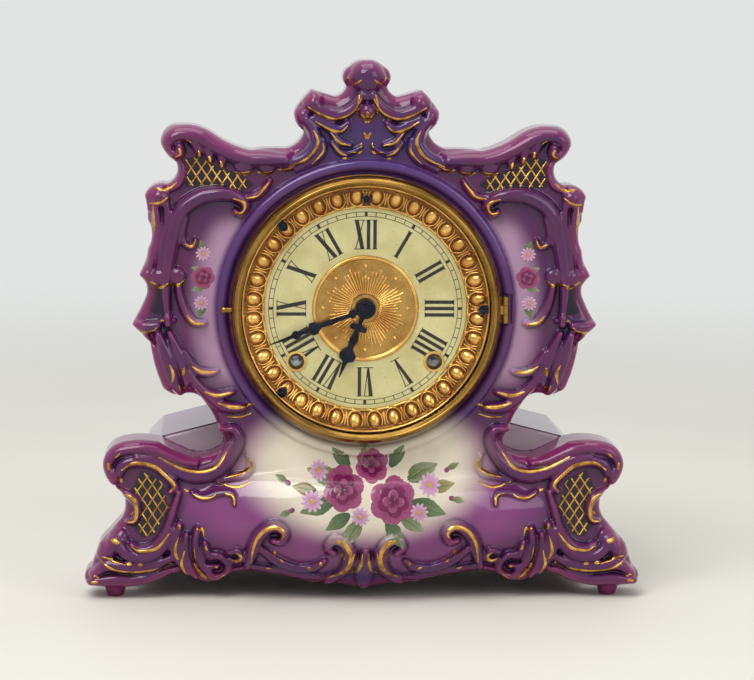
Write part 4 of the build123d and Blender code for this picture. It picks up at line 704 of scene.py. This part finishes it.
# Sprays of small roses and daisies
ROSE = [(linear(66, 8, 44)[:3], linear(136, 36, 92)[:3]), (linear(92, 14, 58)[:3], linear(178, 86, 132)[:3])]
LEAF = [(linear(58, 84, 56)[:3], linear(124, 142, 98)[:3]), (linear(96, 112, 70)[:3], linear(158, 166, 128)[:3]),
        (linear(120, 108, 60)[:3], linear(172, 160, 108)[:3])]
YELLOW = (linear(196, 150, 56)[:3], linear(216, 180, 88)[:3])
art = Sheet()


def rose(x, z, r):
    turn = rng.uniform(0, 72)
    for count, size, lift, tone in ((6, 1.0, 0.22, 1), (5, 0.74, 0.28, 0), (4, 0.5, 0.34, 1), (3, 0.3, 0.4, 0)):
        for k in range(count):
            a = turn + k * 360 / count + rng.uniform(-8, 8)
            art.oval(x, z, r * size * 1.05, r * size * 0.95, a, lift + 0.004 * k, *ROSE[tone], base_at=0.08)
        turn += 31


def daisy(x, z, r):
    turn = rng.uniform(0, 40)
    for k in range(11):
        art.oval(x, z, r, r * 0.4, turn + k * 360 / 11, 0.24 + 0.006 * k, linear(186, 112, 160)[:3],
                 linear(226, 190, 214)[:3], base_at=0.0)
    art.oval(x, z, r * 0.5, r * 0.5, 0, 0.4, *YELLOW)


def leaf(x, z, length, angle, tone=0):
    art.oval(x, z, length, length * 0.52, angle, 0.14 + 0.01 * tone, *LEAF[tone], point=0.7, base_at=0.0)
    art.oval(x, z, length * 0.85, length * 0.05, angle, 0.2, *LEAF[0], base_at=0.0)


def spray(x, z, flip):
    for dx, dz, length, angle, tone in ((-20, -2, 15, 200, 0), (-17, 6, 14, 160, 1),
                                        (20, -3, 15, -20, 0), (18, 7, 14, 25, 1),
                                        (-6, -12, 13, 235, 1), (7, -12, 13, -60, 0),
                                        (-2, 12, 12, 100, 2), (10, 13, 11, 60, 0),
                                        (-12, 13, 11, 130, 0), (-30, 2, 10, 170, 2),
                                        (31, 3, 10, 10, 2), (-12, -9, 12, 215, 0),
                                        (14, -10, 12, -35, 1)):
        leaf(x + flip * dx, z + dz, 1.45 * length, angle if flip > 0 else 180 - angle, tone)


spray(4, 60, 1)
for x, z, r in ((-12, 63, 12.5), (15, 57, 14), (4, 75, 10)):
    rose(x, z, r)
for x, z, r in ((-29, 57, 6.5), (35, 65, 6.5), (-25, 72, 5.5), (29, 51, 5.5), (-3, 49, 5.5)):
    daisy(x, z, r)
for x, z, length, angle in ((-42, 66, 8, 150), (-40, 52, 8, 205), (47, 58, 8, -15), (45, 72, 8, 30)):
    leaf(x, z, length, angle, 1)
    art.oval(x, z, 3.6, 2.8, angle, 0.3, *ROSE[1])
for side in (1, -1):
    for dz, length, angle in ((-12, 10, -70), (12, 10, 75), (4, 8, 20), (-4, 8, -15)):
        leaf(side * 87, 176 + dz, length, angle if side > 0 else 180 - angle, abs(dz) % 3)
    rose(side * 88, 177, 7)
    daisy(side * 88, 190, 4.2)
    daisy(side * 89, 163, 4.2)
make("flower_painting", np.vstack(art.v), art.f, PAINT, "case", np.vstack(art.c))


# Dial
def polar(name, r_list, count, depth, back_y, mat, node):
    """A stamped ring: its front follows depth(r, angle), and it is closed behind."""
    a = np.arange(count) * 2 * math.pi / count
    R, A = np.meshgrid(r_list, a, indexing="ij")
    y = depth(R, A)
    X, Z = R * np.sin(A), DIAL_Z + R * np.cos(A)
    front_v = np.column_stack([X.ravel(), y.ravel(), Z.ravel()])
    inner, outer = (np.column_stack([X[i], np.full(count, back_y), Z[i]]) for i in (0, -1))
    n = len(r_list)
    faces = []
    for i in range(n - 1):
        for k in range(count):
            q = (k + 1) % count
            faces.append((i * count + k, (i + 1) * count + k, (i + 1) * count + q, i * count + q))
    b0, b1 = n * count, (n + 1) * count
    for k in range(count):
        q = (k + 1) % count
        faces.append((k, q, b0 + q, b0 + k))
        faces.append(((n - 1) * count + k, b1 + k, b1 + q, (n - 1) * count + q))
        faces.append((b0 + k, b0 + q, b1 + q, b1 + k))
    # Raised parts keep their colour and recesses go dark: tarnish and painted shade; the back and sides at half
    raised = depth(R, A, True).ravel()
    tarnish_and_shade = np.array([0.30, 0.22, 0.14]) + (1 - np.array([0.30, 0.22, 0.14])) * raised[:, None]
    dirt_and_shade = np.vstack([tarnish_and_shade, np.full((2 * count, 3), 0.5)])
    ring_obj = make(name, np.vstack([front_v, inner, outer]), faces, mat, "case", dirt_and_shade)
    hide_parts(node)
    return ring_obj


def egg_depth(r, a, tone=False):
    base = np.interp(r, [54.7, 55.2, 56.0, 56.6, 65.3, 65.9, 66.6, 67.2, 67.5],
                     [-43.6, -44.6, -44.6, -43.9, -46.6, -48.2, -48.9, -48.7, -48.2])
    u = (np.degrees(a) - 5) / 10
    u = (u - np.round(u)) * 10
    t = np.radians(u) * r
    e = np.hypot(t / 2.9, (r - 61.2) / np.where(r > 61.2, 3.6, 4.0))
    egg = 2.5 * np.sqrt(np.clip(1 - e ** 2, 0, 1))
    cup = 1.5 * np.exp(-((np.hypot(t / 4.2, (r - 61.2) / 5.1) - 1) / 0.1) ** 2) * (1 - ease(63.5, 65.0, r))
    between = np.abs(u) * math.pi / 180 * r - math.radians(5) * r
    dart = 1.2 * np.exp(-(between / 0.55) ** 2) * ease(56.4, 57.4, r) * (1 - ease(63.4, 65.0, r))
    lift = np.maximum(np.maximum(egg, cup), dart)
    # tone gives the mesh colour: eggs, darts and rims light, hollows dark with tarnish and painted shade
    if tone:
        rims = np.maximum(1 - ease(55.6, 56.3, r), ease(64.9, 66.0, r))
        return np.clip(np.maximum(ease(0.1, 1.3, lift), rims), 0, 1)
    y = base - lift
    x, z = r * np.sin(a), r * np.cos(a)
    for angle in (90, 225, 315):
        sx, sz = 63.6 * math.sin(math.radians(angle)), 63.6 * math.cos(math.radians(angle))
        y = np.where(np.hypot(x - sx, z - sz) < 3.0, -47.35, y)
    return np.where(np.hypot(x, z - 59.6) < 2.7, -43.2, y)


def sun_depth(r, a, tone=False):
    base = np.interp(r, [5.6, 8, 25.4, 26.6, 27.3, 28.4, 29.0], [-43.4, -43.05, -43.05, -43.1, -43.9, -43.9, -43.1])
    rays, beads = 64, 8
    k = np.round(a * rays / (2 * math.pi))
    t = (a - k * 2 * math.pi / rays) * r
    centre = k * 2 * math.pi / rays
    length = 19.6 - 2.4 * np.cos(beads * centre) - 1.6 * (k % 2)
    ray = 0.62 * np.sqrt(np.clip(1 - (t / 0.44) ** 2, 0, 1)) * ease(7.2, 8.6, r) * (1 - ease(length - 0.7, length, r))
    tip = np.hypot(t, r - length) / 0.6
    ray = np.maximum(ray, 0.75 * np.sqrt(np.clip(1 - tip ** 2, 0, 1)))
    u = np.mod(a * beads / (2 * math.pi) + 0.5, 1) - 0.5
    bead = 0.85 * np.sqrt(np.clip(1 - (np.hypot(u * 2 * math.pi / beads * r, r - 22.9) / 0.95) ** 2, 0, 1))
    lift = np.maximum(ray, bead)
    # tone gives the mesh colour: rays, beads and rim light, the ground between dark with tarnish and painted shade
    if tone:
        return np.clip(0.45 + 0.55 * np.maximum(ease(0.05, 0.5, lift), ease(26.4, 27.2, r)), 0, 1)
    return np.maximum(base - lift, -44.0)


polar("egg_and_dart_ring", np.linspace(54.75, 67.5, 44), 1440, egg_depth, -42.0, STAMPED, "sash_ring")
polar("sunburst_center", np.linspace(5.6, 29.0, 72), 1280, sun_depth, -42.85, STAMPED, "dial_center")

ink_v, ink_f = [], []


def ink(corners):
    """A printed patch, given clockwise from twelve as x and z from the dial centre."""
    base = len(ink_v)
    for x, z in corners:
        ink_v.append((x, PRINT_Y, DIAL_Z + z))
    ink_f.append(list(range(base, base + len(corners))))


def printed_ring(r0, r1, count=240):
    for k in range(count):
        a, b = (2 * math.pi * (k + i) / count for i in (0, 1))
        ink([(r0 * math.sin(a), r0 * math.cos(a)), (r1 * math.sin(a), r1 * math.cos(a)),
             (r1 * math.sin(b), r1 * math.cos(b)), (r0 * math.sin(b), r0 * math.cos(b))])


def stroke(angle, rows):
    ca, sa = math.cos(angle), math.sin(angle)
    ink([(u * ca + v * sa, -u * sa + v * ca) for u, v in rows])


printed_ring(52.4, 52.75)
printed_ring(50.0, 50.35)
for k in range(60):
    w = 0.8 if k % 5 == 0 else 0.22
    stroke(2 * math.pi * k / 60, [(-w, 50.2), (-w, 52.5), (w, 52.5), (w, 50.2)])
TOP, FOOT = 48.3, 32.2
for hour, text in enumerate(["XII", "I", "II", "III", "IIII", "V", "VI", "VII", "VIII", "IX", "X", "XI"]):
    angle = math.radians(hour * 30)
    widths = {"I": 3.5, "V": 6.0, "X": 6.2}
    total = sum(widths[c] for c in text)
    at = -total / 2
    for c in text:
        m = at + widths[c] / 2
        half = widths[c] / 2 - 0.35
        if c == "I":
            stroke(angle, [(m - 0.95, FOOT), (m - 0.95, TOP), (m + 0.95, TOP), (m + 0.95, FOOT)])
        elif c == "V":
            stroke(angle, [(m - 0.5, FOOT), (m - half, TOP), (m - half + 2.2, TOP), (m + 0.7, FOOT + 1.6)])
            stroke(angle, [(m - 0.2, FOOT), (m + half - 0.9, TOP), (m + half - 0.4, TOP), (m + 0.4, FOOT)])
        else:
            stroke(angle, [(m + half - 2.2, FOOT), (m - half, TOP), (m - half + 2.2, TOP), (m + half, FOOT)])
            stroke(angle, [(m - half + 0.3, FOOT), (m + half - 0.8, TOP),
                           (m + half - 0.3, TOP), (m - half + 0.8, FOOT)])
        for v in (FOOT, TOP - 0.45):
            stroke(angle, [(m - half - 0.1, v), (m - half - 0.1, v + 0.45),
                           (m + half + 0.1, v + 0.45), (m + half + 0.1, v)])
        at += widths[c]
make("dial_printing", ink_v, ink_f, INK, "case", smooth=False)

# Floor, light and camera
def seen(tree):
    """1 for what the camera, a reflection or the glass shows."""
    path = tree.nodes.new("ShaderNodeLightPath")
    total = path.outputs["Is Camera Ray"]
    for ray in ("Is Glossy Ray", "Is Transmission Ray"):
        add = tree.nodes.new("ShaderNodeMath")
        add.operation = "MAXIMUM"
        tree.links.new(total, add.inputs[0])
        tree.links.new(path.outputs[ray], add.inputs[1])
        total = add.outputs[0]
    return total


PALE = linear(226, 228, 227)
FLOOR, tree, shader = material("pale_floor", 0.6)
tree.links.new(ramp(tree, noise(tree, 3.0), [(0.3, linear(222, 218, 208)), (0.7, linear(228, 225, 216))]),
               shader.inputs["Base Color"])
where = tree.nodes.new("ShaderNodeTexCoord")
length = tree.nodes.new("ShaderNodeVectorMath")
length.operation = "LENGTH"
tree.links.new(where.outputs["Object"], length.inputs[0])
far = tree.nodes.new("ShaderNodeMapRange")
far.interpolation_type = "SMOOTHSTEP"
far.inputs["From Min"].default_value = 0.35
far.inputs["From Max"].default_value = 1.6
tree.links.new(length.outputs["Value"], far.inputs["Value"])
gate = tree.nodes.new("ShaderNodeMath")
gate.operation = "MULTIPLY"
tree.links.new(far.outputs["Result"], gate.inputs[0])
tree.links.new(seen(tree), gate.inputs[1])
glow = tree.nodes.new("ShaderNodeEmission")
glow.inputs["Color"].default_value = PALE
either = tree.nodes.new("ShaderNodeMixShader")
tree.links.new(gate.outputs[0], either.inputs["Fac"])
tree.links.new(shader.outputs["BSDF"], either.inputs[1])
tree.links.new(glow.outputs["Emission"], either.inputs[2])
tree.links.new(either.outputs["Shader"], tree.nodes["Material Output"].inputs["Surface"])

rings = [0.4, 1.0, 3.0, 10.0, 60.0]
floor_v = [(0, 0, 0)] + [(r * math.cos(t), r * math.sin(t), 0) for r in rings
                         for t in np.linspace(0, 2 * math.pi, 48, endpoint=False)]
floor_f = [(0, 1 + k, 1 + (k + 1) % 48) for k in range(48)]
for i in range(len(rings) - 1):
    for k in range(48):
        q = (k + 1) % 48
        floor_f.append((1 + i * 48 + k, 1 + (i + 1) * 48 + k, 1 + (i + 1) * 48 + q, 1 + i * 48 + q))
mesh = bpy.data.meshes.new("floor")
mesh.from_pydata(floor_v, [], floor_f)
mesh.materials.append(FLOOR)
floor = bpy.data.objects.new("floor", mesh)
bpy.context.scene.collection.objects.link(floor)

world = bpy.data.worlds.new("studio")
bpy.context.scene.world = world
world.use_nodes = True
sky = world.node_tree.nodes["Background"]
sky.inputs["Color"].default_value = PALE
strength = world.node_tree.nodes.new("ShaderNodeMapRange")
strength.inputs["To Min"].default_value = 0.42
strength.inputs["To Max"].default_value = 1.0
world.node_tree.links.new(seen(world.node_tree), strength.inputs["Value"])
world.node_tree.links.new(strength.outputs["Result"], sky.inputs["Strength"])


def lamp(name, place, target, size, watts, colour=(1, 1, 1)):
    data = bpy.data.lights.new(name, "AREA")
    data.size = size
    data.energy = watts
    data.color = colour
    obj = bpy.data.objects.new(name, data)
    bpy.context.scene.collection.objects.link(obj)
    obj.location = [c * MM for c in place]
    aim = obj.location - Vector([c * MM for c in target])
    obj.rotation_euler = aim.to_track_quat("Z", "Y").to_euler()


lamp("key", (-800, -1200, 1900), (0, 0, 140), 1.3, 36)
lamp("fill", (1300, -1200, 1000), (0, 0, 120), 1.2, 9)
lamp("top", (0, 200, 2000), (0, 0, 100), 1.4, 12)

camera_data = bpy.data.cameras.new("camera")
camera = bpy.data.objects.new("camera", camera_data)
bpy.context.scene.collection.objects.link(camera)
distance, azimuth, elevation = 1.6, math.radians(-3), math.radians(7)
middle = (0.0015, 0.0, 0.1465)
camera.location = (middle[0] + distance * math.sin(azimuth) * math.cos(elevation),
                   middle[1] - distance * math.cos(azimuth) * math.cos(elevation),
                   middle[2] + distance * math.sin(elevation))
camera.rotation_mode = "QUATERNION"
facing = (Vector(middle) - camera.location).to_track_quat("-Z", "Y")
camera.rotation_quaternion = facing @ Quaternion((0, 0, 1), math.radians(0.45))
camera_data.sensor_fit = "HORIZONTAL"
camera_data.angle = 2 * math.atan(0.2105 / distance)
camera_data.shift_x = 0.0173
camera_data.shift_y = -0.022
camera_data.clip_end = 20
bpy.context.scene.camera = camera
bpy.context.scene.view_settings.view_transform = "Standard"
